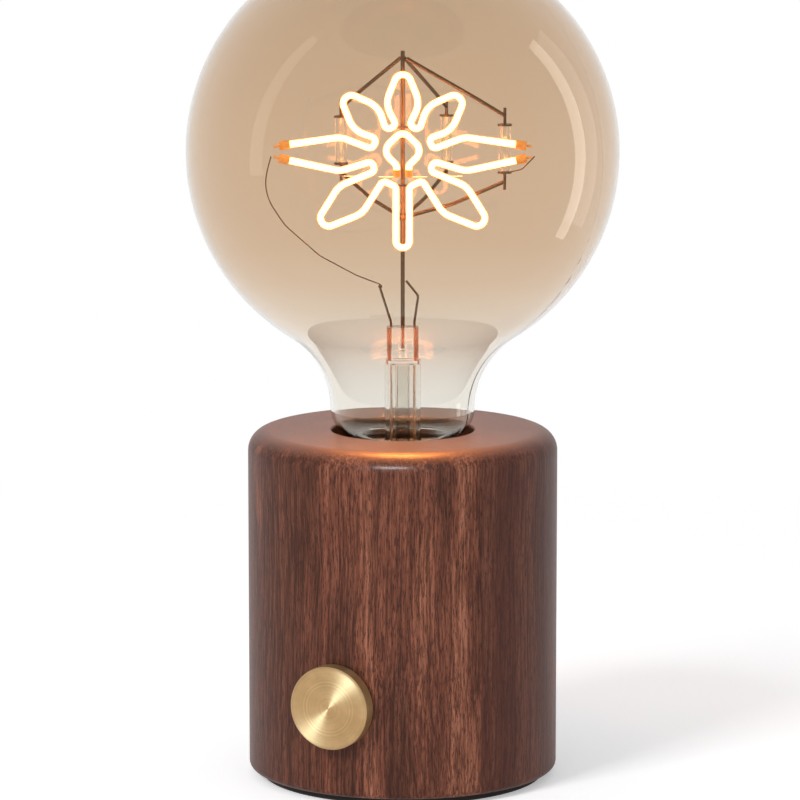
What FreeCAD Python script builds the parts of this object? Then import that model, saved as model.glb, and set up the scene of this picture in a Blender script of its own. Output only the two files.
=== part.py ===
import FreeCAD, Part
import math
import os
from FreeCAD import Vector

# A small table lamp: a turned walnut cylinder with a bare globe bulb standing in its top.
# The bulb is an E27 globe with bent soft LED strands. A brass knob low on the side turns a dimmer.
# Frame: millimetres, +Z up, origin at the centre of the foot's underside, knob shaft along -Y.

# ---------------------------------------------------------------- driving dimensions
# turned base
base_diameter = 90.0
base_height = 100.0
base_top_rounding = 6.0
base_bottom_rounding = 2.0
well_diameter = 41.3          # hole in the top for the lampholder and the bulb's neck
well_rim_rounding = 0.8
bay_wall = 14.0               # wood around the hollow for the dimmer, which is open below
bay_depth = 40.0
shelf_thickness = 8.0         # wood left between the bay and the well

# foot and base plate
foot_inset = 3.5              # foot's edge in from the wood's side
foot_thickness = 3.0
foot_proud = 2.0              # how far the foot stands below the wood
foot_edge = 0.5
plate_inset = 2.5             # plate's edge in from the foot's edge
plate_thickness = 2.0
rebate_clearance = 0.3
plate_screw_count = 4
plate_screw_edge = 3.8        # from a screw's axis to the plate's edge
plate_screw_diameter = 3.0
plate_screw_length = 14.0
plate_screw_head = 6.4
plate_screw_head_height = 1.6
screw_slot_width = 0.8
screw_slot_depth = 0.7

# lampholder and the hollow nipple that clamps it to the shelf
nipple_diameter = 10.0
nipple_bore = 7.2
nipple_hole_clearance = 0.2
nut_across_flats = 14.0
nut_height = 3.0
nipple_stick_out = 1.0        # thread left over past the lower nut
washer_diameter = 20.0
washer_height = 1.5
holder_diameter = 38.0
holder_wall = 1.8
holder_fit = 0.1              # spigot and block inside the dome's wall
holder_floor = 3.0
holder_height = 44.0
dome_height = 18.0
block_height = 6.0
block_overlap = 2.0           # how far the skirt's spigot reaches into the dome
skirt_wall = 3.0
skirt_lip_height = 2.0
skirt_lip_bore = 29.2
skirt_edge = 1.0
terminal_size = 6.0
terminal_height = 4.0
terminal_inner = 7.0          # inner face of each terminal, from the axis
terminal_screw_diameter = 2.6
terminal_screw_proud = 0.6
terminal_slot_width = 0.4
terminal_slot_depth = 0.5
shell_wall = 0.9
shell_foot_height = 0.6
shell_foot_bore = 21.0
shell_length = 24.5
contact_width = 6.0
contact_thickness = 0.5
contact_half_length = 3.0
contact_rise = 2.7            # top of the springy strip above the block
contact_gap = 0.1             # bulb tip to contact, screwed home
contact_foot = 3.6
contact_foot_gap = 0.5        # strip's end inside the shell's foot
contact_slope_shift = 0.3     # keeps the sloping part as thick as the rest
contact_rivet_diameter = 1.6

# E27 screw thread
thread_lead = 3.629
cap_minor = 24.2
cap_major = 26.3
thread_clearance = 0.15
ridge_foot_width = 2.3
ridge_top_width = 0.9
thread_start = 3.0            # above the lower edge of the cap's shell
thread_turns = 3.4
thread_root = 0.15            # ridge's root below the minor size

# globe bulb
globe_diameter = 125.0
glass_wall = 0.8
neck_diameter = 41.8
neck_sweep = 26.0             # radius of the concave curve from globe to neck
shoulder_radius = 8.3
neck_tube_diameter = 22.0
neck_tube_sweep = 2.0
neck_tube_length = 8.4
neck_in_cap = 6.2             # how far the neck's tube reaches down into the cap
cap_height = 26.5
cap_wall = 0.3
cap_skirt_diameter = 26.2
cap_skirt_height = 2.7
cap_skirt_cone = 1.4
cap_lip_bore = 20.0
cap_lip_height = 0.5
tip_diameter = 9.5
tip_height = 1.5
tip_edge = 0.4
insulator_height = 4.3
insulator_foot = 10.6
insulator_top = 22.0
cement_depth = 6.5
cement_set_back = 0.6         # below the cap's upper edge

# glass stem inside the bulb
stem_diameter = 10.4
stem_wall = 1.0
stem_flare_sweep = 16.0
stem_plug = 1.5               # solid glass between the tube and the pinch
pinch_height = 10.0
pinch_width = 9.3
pinch_thickness = 5.0
pinch_edge = 1.6
pinch_top = 42.8              # top of the pinch above the lower end of the neck tube
exhaust_diameter = 4.4
exhaust_wall = 0.6
exhaust_length = 30.0
seal_clearance = 0.02

# wires and rod of the filament frame, turned to face the same way as the figure
bulb_turn = 25.0
rod_diameter = 1.2
rod_above_centre = 29.2
rod_embed = 6.0
lead_diameter = 0.7
lead_spread = 3.4
lead_rise = 1.4               # straight stretch above the pinch
lead_bend = 3.0
left_lead_end = (3.1, 11.2)   # further aside, and above the pinch
right_lead_elbow = (1.1, 9.1)
right_lead_top = 13.5
right_lead_bend = 1.6
lead_bead_diameter = 1.2
arm_diameter = 1.1
arm_reach = 29.4
arm_angles = (0.0, 64.0, 128.0)
arm_weld_depth = 0.1
elbow_share = 0.73            # an arm's elbow, as a share of its reach
knee_share = 0.5
upper_elbow_height = 15.3     # heights of bends and discs are from the globe's centre
lower_elbow_height = -12.0
lower_knee_height = -15.0
upper_arm_bend = 12.0
lower_arm_bend = 14.0
arm_end_share = 0.55          # where an arm meets its post, as a share of the post
post_diameter = 0.9
post_length = 5.2
disc_diameter = 4.1
disc_thickness = 0.5
upper_disc = 7.6
lower_disc = -5.7
rod_arm_height = 27.0         # where the upper arms leave the rod
rod_foot_height = -18.8       # where the lower arms leave the rod
insulator_tube = 3.5
insulator_tube_bore = 2.0
bead_diameter = 2.4

# hair-thin wires: stops of (across, forward, height above the pinch)
tail_diameter = 0.36
left_tail_stops = ((-13.5, 0.5, 15.2), (-24.0, 1.5, 21.0), (-34.0, 2.5, 30.0), (-40.5, 3.2, 40.0))
left_tail_bends = (8.0, 12.0, 14.0, 14.0)
right_tail_reach = 5.0        # past the arm's disc
right_tail_forward = 1.0
right_tail_rise = 0.8
right_tail_bend = 2.5

# glowing strands
strand_diameter = 2.2
strand_stand_off = 4.0        # figure in front of the rod
figure_drop = 0.8             # figure's centre below the globe's centre
loop_foot = 8.8
loop_foot_gap = 1.75
foot_bend = 1.4
bulge_bend = 7.0
tip_bend = 2.4
bulge_share = 0.55
petal_length = 27.5
petal_half_width = 5.0
side_length = 32.6
side_half_width = 4.9
side_end_gap = 2.3            # each end's distance from the petal's middle line
leaf_length = 35.5
leaf_half_width = 5.2
stalk_length = 26.5
stalk_half_width = 1.95
heart_gap = 1.75              # each end's distance from the middle line
heart_foot = -4.0
heart_neck = 1.4
heart_half_width = 6.0
heart_shoulder = 1.6
heart_top = 7.4
heart_bend = 3.0
ferrule_diameter = 2.6
ferrule_length = 3.0
heart_ferrule_length = 2.0
pin_diameter = 0.7
pin_length = 1.6
tie_diameter = 0.6
tie_half_length = 4.6
upper_tie_drop = 0.6          # below the petals' feet
lower_tie_rise = 0.2
heart_tie_drop = 1.6          # below the drop's tip
touch_gap = 0.03

# driver inside the cap
driver_diameter = 19.0
driver_thickness = 1.0
driver_height = 11.2          # board above the bulb's lowest point
driver_capacitor_diameter = 5.0
driver_capacitor_height = 5.5
driver_bridge = (5.0, 3.6, 2.4)
driver_part_offset = 6.0
cap_wire_diameter = 0.7
cap_wire_offset = 7.0
cap_wire_drop = 2.0
cap_wire_bend = 1.0

# knob and potentiometer
knob_diameter = 24.0
knob_thickness = 4.9
knob_gap = 0.3                # behind the knob, at the wood's widest
knob_height = 27.0            # shaft above the lower edge of the wood
knob_edge = 0.45
knob_face_thickness = 1.4
shaft_diameter = 6.0
shaft_flat = 1.5              # flat's distance from the shaft's axis
running_clearance = 0.05
set_screw_diameter = 3.0
set_screw_length = 6.5
set_screw_socket = 1.5
set_screw_socket_depth = 1.5
pot_wall = 10.0               # from the wood's side to the mounting face
pot_diameter = 17.0
pot_plate = 1.5
pot_case_depth = 9.0
pot_case_wall = 0.4
pot_bushing_diameter = 7.0
pot_bushing_length = 7.0
pot_hole_clearance = 0.2
pot_wall_left = 4.0           # wood under the nut
pot_recess_diameter = 16.0
pot_nut_flats = 10.0
pot_nut_height = 2.0
pot_washer_diameter = 12.0
pot_washer_height = 0.5
pot_pocket_width = 20.0
pot_wafer_thickness = 1.2
pot_wafer_hole_clearance = 0.5
pot_ear_drop = 2.0            # ear for the tags, below the wafer's disc
pot_rotor_diameter = 13.0
pot_rotor_thickness = 2.0
pot_rotor_gap = 0.5
pot_wiper_width = 3.0
pot_wiper_height = 2.0
pot_wiper_reach = 4.0         # from the shaft's axis
pot_tag_pitch = 5.0
pot_tag_width = 1.6
pot_tag_thickness = 0.5
pot_tag_length = 7.0
pot_tag_gap = 0.3             # below the wafer's disc
pot_lead_diameter = 1.0
pot_lead_rise = 1.5           # above a tag's lower end
pot_lead_inset = 2.0          # in from the board's edge
pot_lead_bend = 1.5

# cord outlet at the back
outlet_height = 12.5          # above the lower edge of the wood
outlet_bore = 6.6
outlet_tube = 10.0
outlet_clearance = 0.15
outlet_flange_diameter = 14.0
outlet_flange_thickness = 2.0
outlet_flange_edge = 0.8
outlet_seat_depth = 0.8
outlet_nut_flats = 14.0
outlet_nut_thickness = 3.0
outlet_pocket_depth = 2.0
outlet_pocket_width = 18.0
outlet_stick_out = 1.0

# dimmer board
board_width = 38.0
board_clearance = 1.9         # the board's corners to the bay's wall
board_thickness = 1.6
pillar_height = 4.0
pillar_diameter = 5.0
board_screw_diameter = 2.5
board_screw_head = 4.6
board_screw_head_height = 1.6
board_screw_grip = 3.0
board_screw_inset = 3.2
board_hole_clearance = 0.1
choke_ring = 6.5
choke_section = 2.8
choke_place = (-12.0, 3.5)
film_capacitor = (12.0, 6.5, 10.0)
film_capacitor_place = (12.5, 6.0)
triac_body = (10.0, 4.4, 9.0)
triac_tab = (10.0, 1.3, 6.0)
triac_leg = (0.8, 0.6, 3.0)
triac_leg_pitch = 2.54
triac_hole = 3.6
triac_place = (6.0, -8.0)
fuse_diameter = 5.0
fuse_length = 13.0
fuse_lift = 0.6
fuse_foot = (2.0, 3.0)        # along and across the fuse
fuse_place = (-10.5, -9.5)
connector = (10.0, 7.0, 9.5)
connector_place = (2.0, 13.5)
hook_up_diameter = 1.8
hook_up_spread = 2.5
hook_up_bend = 3.0
hook_up_rise = 7.5            # straight stretch above the connector
hook_up_entry = 2.5           # below the nipple
nipple_wire_spread = 1.7

# ---------------------------------------------------------------- places that follow from them
wood_bottom = foot_proud
wood_top = wood_bottom + base_height
base_radius = base_diameter / 2
bay_radius = base_radius - bay_wall
foot_diameter = base_diameter - 2 * foot_inset
plate_diameter = foot_diameter - 2 * plate_inset
plate_screw_ring = plate_diameter / 2 - plate_screw_edge
plate_bottom = foot_thickness
plate_top = plate_bottom + plate_thickness
shelf_bottom = wood_bottom + bay_depth
shelf_top = shelf_bottom + shelf_thickness
knob_z = wood_bottom + knob_height
outlet_z = wood_bottom + outlet_height

block_top = shelf_top + dome_height - block_overlap
block_bottom = block_top - block_height
contact_top = block_top + contact_rise
holder_top = shelf_top + holder_height
spigot_diameter = holder_diameter - 2 * holder_wall - 2 * holder_fit
bulb_bottom = contact_top + contact_gap
shell_bottom = bulb_bottom + tip_height + insulator_height
cap_top = bulb_bottom + cap_height
nipple_bottom = shelf_bottom - washer_height - nut_height - nipple_stick_out
nipple_top = shelf_top + holder_floor + nut_height
terminal_bottom = block_bottom - terminal_height

# The globe sits on its neck: a concave sweep, a shoulder and a tube that ends inside the cap.
globe_radius = globe_diameter / 2
neck_bottom = cap_top - neck_in_cap
tube_curve_z = neck_bottom + neck_tube_length
tube_curve_r = neck_tube_diameter / 2 + neck_tube_sweep
shoulder_r = neck_diameter / 2 - shoulder_radius
shoulder_rise = math.sqrt((shoulder_radius + neck_tube_sweep) ** 2 - (tube_curve_r - shoulder_r) ** 2)
neck_z = tube_curve_z + shoulder_rise
sweep_r = neck_diameter / 2 + neck_sweep
globe_z = neck_z + math.sqrt((globe_radius + neck_sweep) ** 2 - sweep_r ** 2)
pinch_low = neck_bottom + pinch_top - pinch_height
pinch_high = neck_bottom + pinch_top

pot_face = base_radius - pot_wall
knob_back = -(base_radius + knob_gap)
knob_face = knob_back - knob_thickness
shaft_end = knob_face + knob_face_thickness
pot_nut_seat = -(pot_face + pot_wall_left)

board_length = 2 * math.sqrt((bay_radius - board_clearance) ** 2 - (board_width / 2) ** 2)
board_bottom = plate_top + pillar_height
board_top = board_bottom + board_thickness

figure_z = globe_z - figure_drop


# ---------------------------------------------------------------- helpers
def upright(diameter, low, high, x=0.0, y=0.0):
    return Part.makeCylinder(diameter / 2, high - low, Vector(x, y, low))


def lengthwise(diameter, low, high, x=0.0, z=0.0):
    """A cylinder along Y from y = low to y = high."""
    return Part.makeCylinder(diameter / 2, high - low, Vector(x, low, z), Vector(0, 1, 0))


def washer(outer, bore, low, high):
    return upright(outer, low, high).cut(upright(bore, low, high))


def block(size, place, bottom):
    """A box of (x, y, z) size, centred on place (x, y), standing on bottom."""
    corner = Vector(place[0] - size[0] / 2, place[1] - size[1] / 2, bottom)
    return Part.makeBox(size[0], size[1], size[2], corner)


def hexagon(across_flats, height, base, axis):
    """A hexagonal prism from base along axis, with a corner to the side."""
    corner_radius = across_flats / math.sqrt(3)
    points = [Vector(corner_radius * math.cos(math.radians(60 * k)),
                     corner_radius * math.sin(math.radians(60 * k)), 0) for k in range(7)]
    prism = Part.Face(Part.makePolygon(points)).extrude(Vector(0, 0, height))
    turn = FreeCAD.Rotation(Vector(0, 0, 1), axis)
    prism.Placement = FreeCAD.Placement(base, turn)
    return prism


def turned(outline):
    """A solid of revolution about Z from a closed outline of (radius, height) points."""
    points = [Vector(r, 0, z) for r, z in outline]
    face = Part.Face(Part.makePolygon(points + points[:1]))
    return face.revolve(Vector(0, 0, 0), Vector(0, 0, 1), 360)


def circle_edges(shape, radius, height):
    """The round edges of this radius about Z at this height."""
    found = []
    for edge in shape.Edges:
        curve = edge.Curve
        if not isinstance(curve, Part.Circle):
            continue
        if abs(curve.Radius - radius) < 1e-4 and abs(curve.Center.z - height) < 1e-4:
            found.append(edge)
    return found


def rounded_path(points, bends):
    """Straight runs joined by tangent arcs: bends[k] is the radius at points[k + 1]."""
    edges = []
    start = points[0]
    for k, bend in enumerate(bends):
        corner = points[k + 1]
        back = (points[k] - corner).normalize()
        ahead = (points[k + 2] - corner).normalize()
        half = back.getAngle(ahead) / 2
        reach = bend / math.tan(half)
        enter = corner + back * reach
        leave = corner + ahead * reach
        middle_way = (back + ahead).normalize()
        middle = corner + middle_way * (bend / math.sin(half) - bend)
        if (enter - start).Length > 1e-6:
            edges.append(Part.LineSegment(start, enter).toShape())
        edges.append(Part.Arc(enter, middle, leave).toShape())
        start = leave
    edges.append(Part.LineSegment(start, points[-1]).toShape())
    return Part.Wire(edges)


def wire_along(points, bends, diameter):
    """A round wire along a rounded path."""
    path = rounded_path(points, bends)
    way = (points[1] - points[0]).normalize()
    ring = Part.Wire(Part.makeCircle(diameter / 2, points[0], way))
    return path.makePipeShell([ring], True, True)


def straight_wire(start, end, diameter):
    return Part.makeCylinder(diameter / 2, (end - start).Length, start, end - start)


def in_bulb(across, forward, height):
    """A point in the bulb's own frame: across the figure, forward of it, and up."""
    turn = math.radians(bulb_turn)
    x = across * math.cos(turn) + forward * math.sin(turn)
    y = across * math.sin(turn) - forward * math.cos(turn)
    return Vector(x, y, height)


# ---------------------------------------------------------------- base body
def walnut_body():
    body = upright(base_diameter, wood_bottom, wood_top)
    body = body.makeFillet(base_top_rounding, circle_edges(body, base_radius, wood_top))
    body = body.makeFillet(base_bottom_rounding, circle_edges(body, base_radius, wood_bottom))
    body = body.cut(upright(well_diameter, shelf_top, wood_top + 1))
    body = body.makeFillet(well_rim_rounding, circle_edges(body, well_diameter / 2, wood_top))
    rebates = [
        upright(foot_diameter + 2 * rebate_clearance, 0, plate_bottom),
        upright(plate_diameter + 2 * rebate_clearance, 0, plate_top),
        upright(2 * bay_radius, 0, shelf_bottom),
        upright(nipple_diameter + 2 * nipple_hole_clearance, shelf_bottom - 1, shelf_top + 1),
    ]
    pocket_top = knob_z + pot_pocket_width / 2
    pot_pocket = block((pot_pocket_width, pot_face, pocket_top), (0, -pot_face / 2), 0)
    rebates.append(pot_pocket)
    bushing_hole = pot_bushing_diameter + 2 * pot_hole_clearance
    rebates.append(lengthwise(bushing_hole, -base_radius, 0, 0, knob_z))
    rebates.append(lengthwise(pot_recess_diameter, -base_radius, pot_nut_seat, 0, knob_z))
    outlet_seat = base_radius - outlet_seat_depth
    rebates.append(lengthwise(outlet_tube + 2 * outlet_clearance, 0, base_radius, 0, outlet_z))
    flange_room = outlet_flange_diameter + 2 * rebate_clearance
    rebates.append(lengthwise(flange_room, outlet_seat, base_radius, 0, outlet_z))
    outlet_pocket_end = bay_radius + outlet_pocket_depth
    outlet_pocket = block((outlet_pocket_width, outlet_pocket_end,
                           outlet_z + outlet_pocket_width / 2), (0, outlet_pocket_end / 2), 0)
    rebates.append(outlet_pocket)
    for x, y in screw_places():
        depth = plate_bottom + plate_screw_length
        rebates.append(upright(plate_screw_diameter + 2 * seal_clearance, 0, depth, x, y))
    for cutter in rebates:
        body = body.cut(cutter)
    return body


def screw_places():
    places = []
    for k in range(plate_screw_count):
        angle = math.radians(45 + 360 * k / plate_screw_count)
        places.append((plate_screw_ring * math.cos(angle), plate_screw_ring * math.sin(angle)))
    return places


def board_screw_places():
    reach_x = board_length / 2 - board_screw_inset
    reach_y = board_width / 2 - board_screw_inset
    return [(sx * reach_x, sy * reach_y) for sx in (-1, 1) for sy in (-1, 1)]


def foot_pad():
    pad = upright(foot_diameter, 0, foot_thickness)
    return pad.makeChamfer(foot_edge, circle_edges(pad, foot_diameter / 2, 0))


def plate_screw(x, y, gap=0.0):
    """A countersunk screw with its head in the plate's underside."""
    head = Part.makeCone(plate_screw_head / 2 + gap, plate_screw_diameter / 2 + gap,
                         plate_screw_head_height, Vector(x, y, plate_bottom))
    shank = upright(plate_screw_diameter + 2 * gap, plate_bottom,
                    plate_bottom + plate_screw_length, x, y)
    return head.fuse(shank).removeSplitter()


def base_plate():
    plate = upright(plate_diameter, plate_bottom, plate_top)
    for x, y in screw_places():
        plate = plate.cut(plate_screw(x, y, seal_clearance))
    return plate


def screw_slot(x, y, length, low):
    corner = Vector(x - length / 2, y - screw_slot_width / 2, low)
    return Part.makeBox(length, screw_slot_width, screw_slot_depth, corner)


def base_plate_screws():
    return [plate_screw(x, y).cut(screw_slot(x, y, plate_screw_head, plate_bottom))
            for x, y in screw_places()]


def nipple():
    return washer(nipple_diameter, nipple_bore, nipple_bottom, nipple_top)


def nipple_nuts():
    nuts = []
    for bottom in (nipple_bottom + nipple_stick_out, shelf_top + holder_floor):
        nut = hexagon(nut_across_flats, nut_height, Vector(0, 0, bottom), Vector(0, 0, 1))
        bore = upright(nipple_diameter + 2 * seal_clearance, bottom, bottom + nut_height)
        nuts.append(nut.cut(bore))
    return nuts


def nipple_washer():
    bore = nipple_diameter + 2 * nipple_hole_clearance
    return washer(washer_diameter, bore, shelf_bottom - washer_height, shelf_bottom)


def lampholder_dome():
    inner = holder_diameter - 2 * holder_wall
    cup = upright(holder_diameter, shelf_top, shelf_top + dome_height)
    cup = cup.makeFillet(skirt_edge, circle_edges(cup, holder_diameter / 2, shelf_top))
    ledge = inner - 2 * holder_wall
    cup = cup.cut(upright(inner, block_bottom, shelf_top + dome_height))
    cup = cup.cut(upright(ledge, shelf_top + holder_floor, block_bottom))
    hole = upright(nipple_diameter + 2 * seal_clearance, shelf_top, block_bottom)
    return cup.cut(hole)


def lampholder_skirt():
    inner = holder_diameter - 2 * skirt_wall
    joint = shelf_top + dome_height
    lip = holder_top - skirt_lip_height
    skirt = upright(holder_diameter, joint, holder_top)
    skirt = skirt.makeFillet(skirt_edge, circle_edges(skirt, holder_diameter / 2, holder_top))
    skirt = skirt.fuse(upright(spigot_diameter, block_top, joint))
    skirt = skirt.cut(upright(inner, block_top, lip))
    return skirt.cut(upright(skirt_lip_bore, lip, holder_top)).removeSplitter()


def rivet_places():
    strip_foot = -(contact_foot_outer() - contact_foot / 2)
    flange_middle = (shell_foot_bore / 2 + shell_outer() / 2) / 2
    return (strip_foot, flange_middle)


def contact_foot_outer():
    return shell_foot_bore / 2 - contact_foot_gap


def shell_outer():
    return cap_major + 2 * thread_clearance + 2 * shell_wall


def terminal_block():
    body = upright(spigot_diameter, block_bottom, block_top)
    for x in rivet_places():
        body = body.cut(upright(contact_rivet_diameter + 2 * seal_clearance,
                                block_bottom, block_top, x))
    return body


def terminals():
    shapes = []
    for side in (-1, 1):
        place = (side * (terminal_inner + terminal_size / 2), 0)
        body = block((terminal_size, terminal_size, terminal_height), place, terminal_bottom)
        middle = terminal_bottom + terminal_height / 2
        screw_hole = terminal_screw_diameter + 2 * seal_clearance
        body = body.cut(lengthwise(screw_hole, -terminal_size / 2, 0, place[0], middle))
        shapes.append(body)
    return shapes


def terminal_screws():
    shapes = []
    front = -terminal_size / 2 - terminal_screw_proud
    middle = terminal_bottom + terminal_height / 2
    for side in (-1, 1):
        x = side * (terminal_inner + terminal_size / 2)
        screw = lengthwise(terminal_screw_diameter, front, 0, x, middle)
        corner = Vector(x - terminal_screw_diameter / 2, front, middle - terminal_slot_width / 2)
        slot = Part.makeBox(terminal_screw_diameter, terminal_slot_depth, terminal_slot_width, corner)
        shapes.append(screw.cut(slot))
    return shapes


def contact_rivets():
    return [upright(contact_rivet_diameter, block_bottom, block_top, x) for x in rivet_places()]


def centre_contact():
    """A springy strip: a flat foot on the block, a slope and a flat top under the bulb's tip."""
    outer = contact_foot_outer()
    low = block_top
    high = contact_top
    thick = contact_thickness
    outline = [
        (-outer, low), (-outer + contact_foot, low), (-contact_half_length, high - thick),
        (contact_half_length, high - thick), (contact_half_length, high),
        (-contact_half_length - contact_slope_shift, high),
        (-outer + contact_foot - contact_slope_shift, low + thick),
        (-outer, low + thick),
    ]
    points = [Vector(x, -contact_width / 2, z) for x, z in outline]
    face = Part.Face(Part.makePolygon(points + points[:1]))
    return face.extrude(Vector(0, contact_width, 0))


def ridge(minor, major, foot_width, top_width, low, turns):
    """A helical ridge of trapezoid section, its flanks carried on a little inside the minor size."""
    root = thread_root
    height = (major - minor) / 2
    spread = (foot_width - top_width) / 2 * root / height
    foot = foot_width / 2 + spread
    top = top_width / 2
    section = [(minor / 2 - root, -foot), (major / 2, -top), (major / 2, top), (minor / 2 - root, foot)]
    points = [Vector(r, 0, low + z) for r, z in section]
    profile = Part.makePolygon(points + points[:1])
    helix = Part.makeHelix(thread_lead, thread_lead * turns, minor / 2)
    helix.translate(Vector(0, 0, low))
    return Part.Wire(helix.Edges).makePipeShell([profile], True, True)


def screw_shell():
    """The holder's threaded sleeve: its groove is cut in a longer tube that is then trimmed."""
    bore = cap_minor + 2 * thread_clearance
    top = block_top + shell_length
    first = shell_bottom + thread_start - thread_lead
    turns = math.ceil((top - first) / thread_lead)
    spare_top = first + (turns + 1) * thread_lead
    tube = washer(shell_outer(), bore, block_top, spare_top)
    extra = 2 * thread_clearance
    groove = ridge(bore, cap_major + extra, ridge_foot_width + extra, ridge_top_width + extra,
                   first, turns)
    tube = tube.cut(groove).cut(upright(shell_outer() + 2, top, spare_top + 1))
    foot = washer(shell_outer(), shell_foot_bore, block_top, block_top + shell_foot_height)
    return tube.fuse(foot).removeSplitter()


# ---------------------------------------------------------------- dimmer in the bay
def dimmer_board():
    board = block((board_length, board_width, board_thickness), (0, 0), board_bottom)
    hole = board_screw_diameter + 2 * board_hole_clearance
    for x, y in board_screw_places():
        board = board.cut(upright(hole, board_bottom, board_top, x, y))
    return board


def board_pillars():
    bore = board_screw_diameter + 2 * seal_clearance
    return [washer_at(pillar_diameter, bore, plate_top, board_bottom, x, y)
            for x, y in board_screw_places()]


def washer_at(outer, bore, low, high, x, y):
    return upright(outer, low, high, x, y).cut(upright(bore, low, high, x, y))


def board_screws():
    shapes = []
    head_top = board_top + board_screw_head_height
    for x, y in board_screw_places():
        head = upright(board_screw_head, board_top, head_top, x, y)
        shank = upright(board_screw_diameter, board_bottom - board_screw_grip, board_top, x, y)
        slot = screw_slot(x, y, board_screw_head, head_top - screw_slot_depth)
        shapes.append(head.fuse(shank).removeSplitter().cut(slot))
    return shapes


def choke():
    middle = Vector(choke_place[0], choke_place[1], board_top + choke_section)
    return Part.makeTorus(choke_ring, choke_section, middle)


def film_capacitor_box():
    return block(film_capacitor, film_capacitor_place, board_top)


def triac():
    legs_top = board_top + triac_leg[2]
    shape = block(triac_body, triac_place, legs_top)
    tab_place = (triac_place[0], triac_place[1] - (triac_body[1] - triac_tab[1]) / 2)
    tab = block(triac_tab, tab_place, legs_top + triac_body[2])
    hole = lengthwise(triac_hole, tab_place[1] - triac_tab[1], tab_place[1] + triac_tab[1],
                      tab_place[0], legs_top + triac_body[2] + triac_tab[2] / 2)
    shape = shape.fuse(tab.cut(hole))
    for k in (-1, 0, 1):
        leg_place = (triac_place[0] + k * triac_leg_pitch, triac_place[1])
        shape = shape.fuse(block(triac_leg, leg_place, board_top))
    return shape.removeSplitter()


def fuse():
    x, y = fuse_place
    low = x - fuse_length / 2
    middle = board_top + fuse_lift + fuse_diameter / 2
    glass = Part.makeCylinder(fuse_diameter / 2, fuse_length, Vector(low, y, middle), Vector(1, 0, 0))
    along, across = fuse_foot
    for end in (low + along / 2, low + fuse_length - along / 2):
        foot = block((along, across, fuse_lift + fuse_diameter / 2), (end, y), board_top)
        glass = glass.fuse(foot)
    return glass.removeSplitter()


def wire_connector():
    return block(connector, connector_place, board_top)


def holder_wires():
    """Two leads from the dimmer's connector up through the nipple to the holder's terminals."""
    shapes = []
    start_z = board_top + connector[2]
    level = block_bottom - terminal_height / 2
    for side in (-1, 1):
        points = [
            Vector(side * hook_up_spread, connector_place[1], start_z),
            Vector(side * hook_up_spread, connector_place[1], start_z + hook_up_rise),
            Vector(side * nipple_wire_spread, 0, nipple_bottom - hook_up_entry),
            Vector(side * nipple_wire_spread, 0, level),
            Vector(side * terminal_inner, 0, level),
        ]
        bends = [hook_up_bend, hook_up_bend, hook_up_diameter]
        shapes.append(wire_along(points, bends, hook_up_diameter))
    return shapes


# ---------------------------------------------------------------- potentiometer
def pot_frame():
    """The front plate and threaded bushing, in one casting."""
    plate = lengthwise(pot_diameter, -pot_face, -pot_face + pot_plate, 0, knob_z)
    bushing = lengthwise(pot_bushing_diameter, -pot_face - pot_bushing_length, -pot_face, 0, knob_z)
    bore = lengthwise(shaft_diameter + 2 * running_clearance, -pot_face - pot_bushing_length,
                      -pot_face + pot_plate, 0, knob_z)
    return plate.fuse(bushing).removeSplitter().cut(bore)


def pot_case():
    front = -pot_face + pot_plate + pot_wafer_thickness
    back = -pot_face + pot_plate + pot_case_depth
    inner = pot_diameter - 2 * pot_case_wall
    can = lengthwise(pot_diameter, front, back, 0, knob_z)
    return can.cut(lengthwise(inner, front, back - pot_case_wall, 0, knob_z))


def pot_wafer():
    """The track's board, between the plate and the case, with an ear for the three tags."""
    front = -pot_face + pot_plate
    back = front + pot_wafer_thickness
    disc = lengthwise(pot_diameter, front, back, 0, knob_z)
    ear_width = 2 * pot_tag_pitch + 3 * pot_tag_width
    ear_low = knob_z - pot_diameter / 2 - pot_ear_drop
    ear = Part.makeBox(ear_width, pot_wafer_thickness, knob_z - ear_low,
                       Vector(-ear_width / 2, front, ear_low))
    hole = lengthwise(shaft_diameter + 2 * pot_wafer_hole_clearance, front, back, 0, knob_z)
    return disc.fuse(ear).removeSplitter().cut(hole)


def pot_tags():
    back = -pot_face + pot_plate + pot_wafer_thickness
    high = knob_z - pot_diameter / 2 - pot_tag_gap
    shapes = []
    for k in (-1, 0, 1):
        x = k * pot_tag_pitch - pot_tag_width / 2
        shapes.append(Part.makeBox(pot_tag_width, pot_tag_thickness, pot_tag_length,
                                   Vector(x, back, high - pot_tag_length)))
    return shapes


def pot_leads():
    """Three short leads from the tags to the front edge of the board."""
    front = -pot_face + pot_plate + pot_wafer_thickness + pot_tag_thickness
    tag_low = knob_z - pot_diameter / 2 - pot_tag_gap - pot_tag_length
    level = tag_low + pot_lead_rise
    board_edge = -board_width / 2 + pot_lead_inset
    shapes = []
    for k in (-1, 0, 1):
        x = k * pot_tag_pitch
        points = [Vector(x, front, level), Vector(x, board_edge, level),
                  Vector(x, board_edge, board_top)]
        shapes.append(wire_along(points, [pot_lead_bend], pot_lead_diameter))
    return shapes


def pot_nut():
    base = Vector(0, pot_nut_seat - pot_washer_height, knob_z)
    nut = hexagon(pot_nut_flats, pot_nut_height, base, Vector(0, -1, 0))
    return nut.cut(lengthwise(pot_bushing_diameter + 2 * seal_clearance, -base_radius, 0, 0, knob_z))


def pot_washer():
    ring = lengthwise(pot_washer_diameter, pot_nut_seat - pot_washer_height, pot_nut_seat, 0, knob_z)
    return ring.cut(lengthwise(pot_bushing_diameter + 2 * pot_hole_clearance, -base_radius, 0, 0, knob_z))


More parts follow.
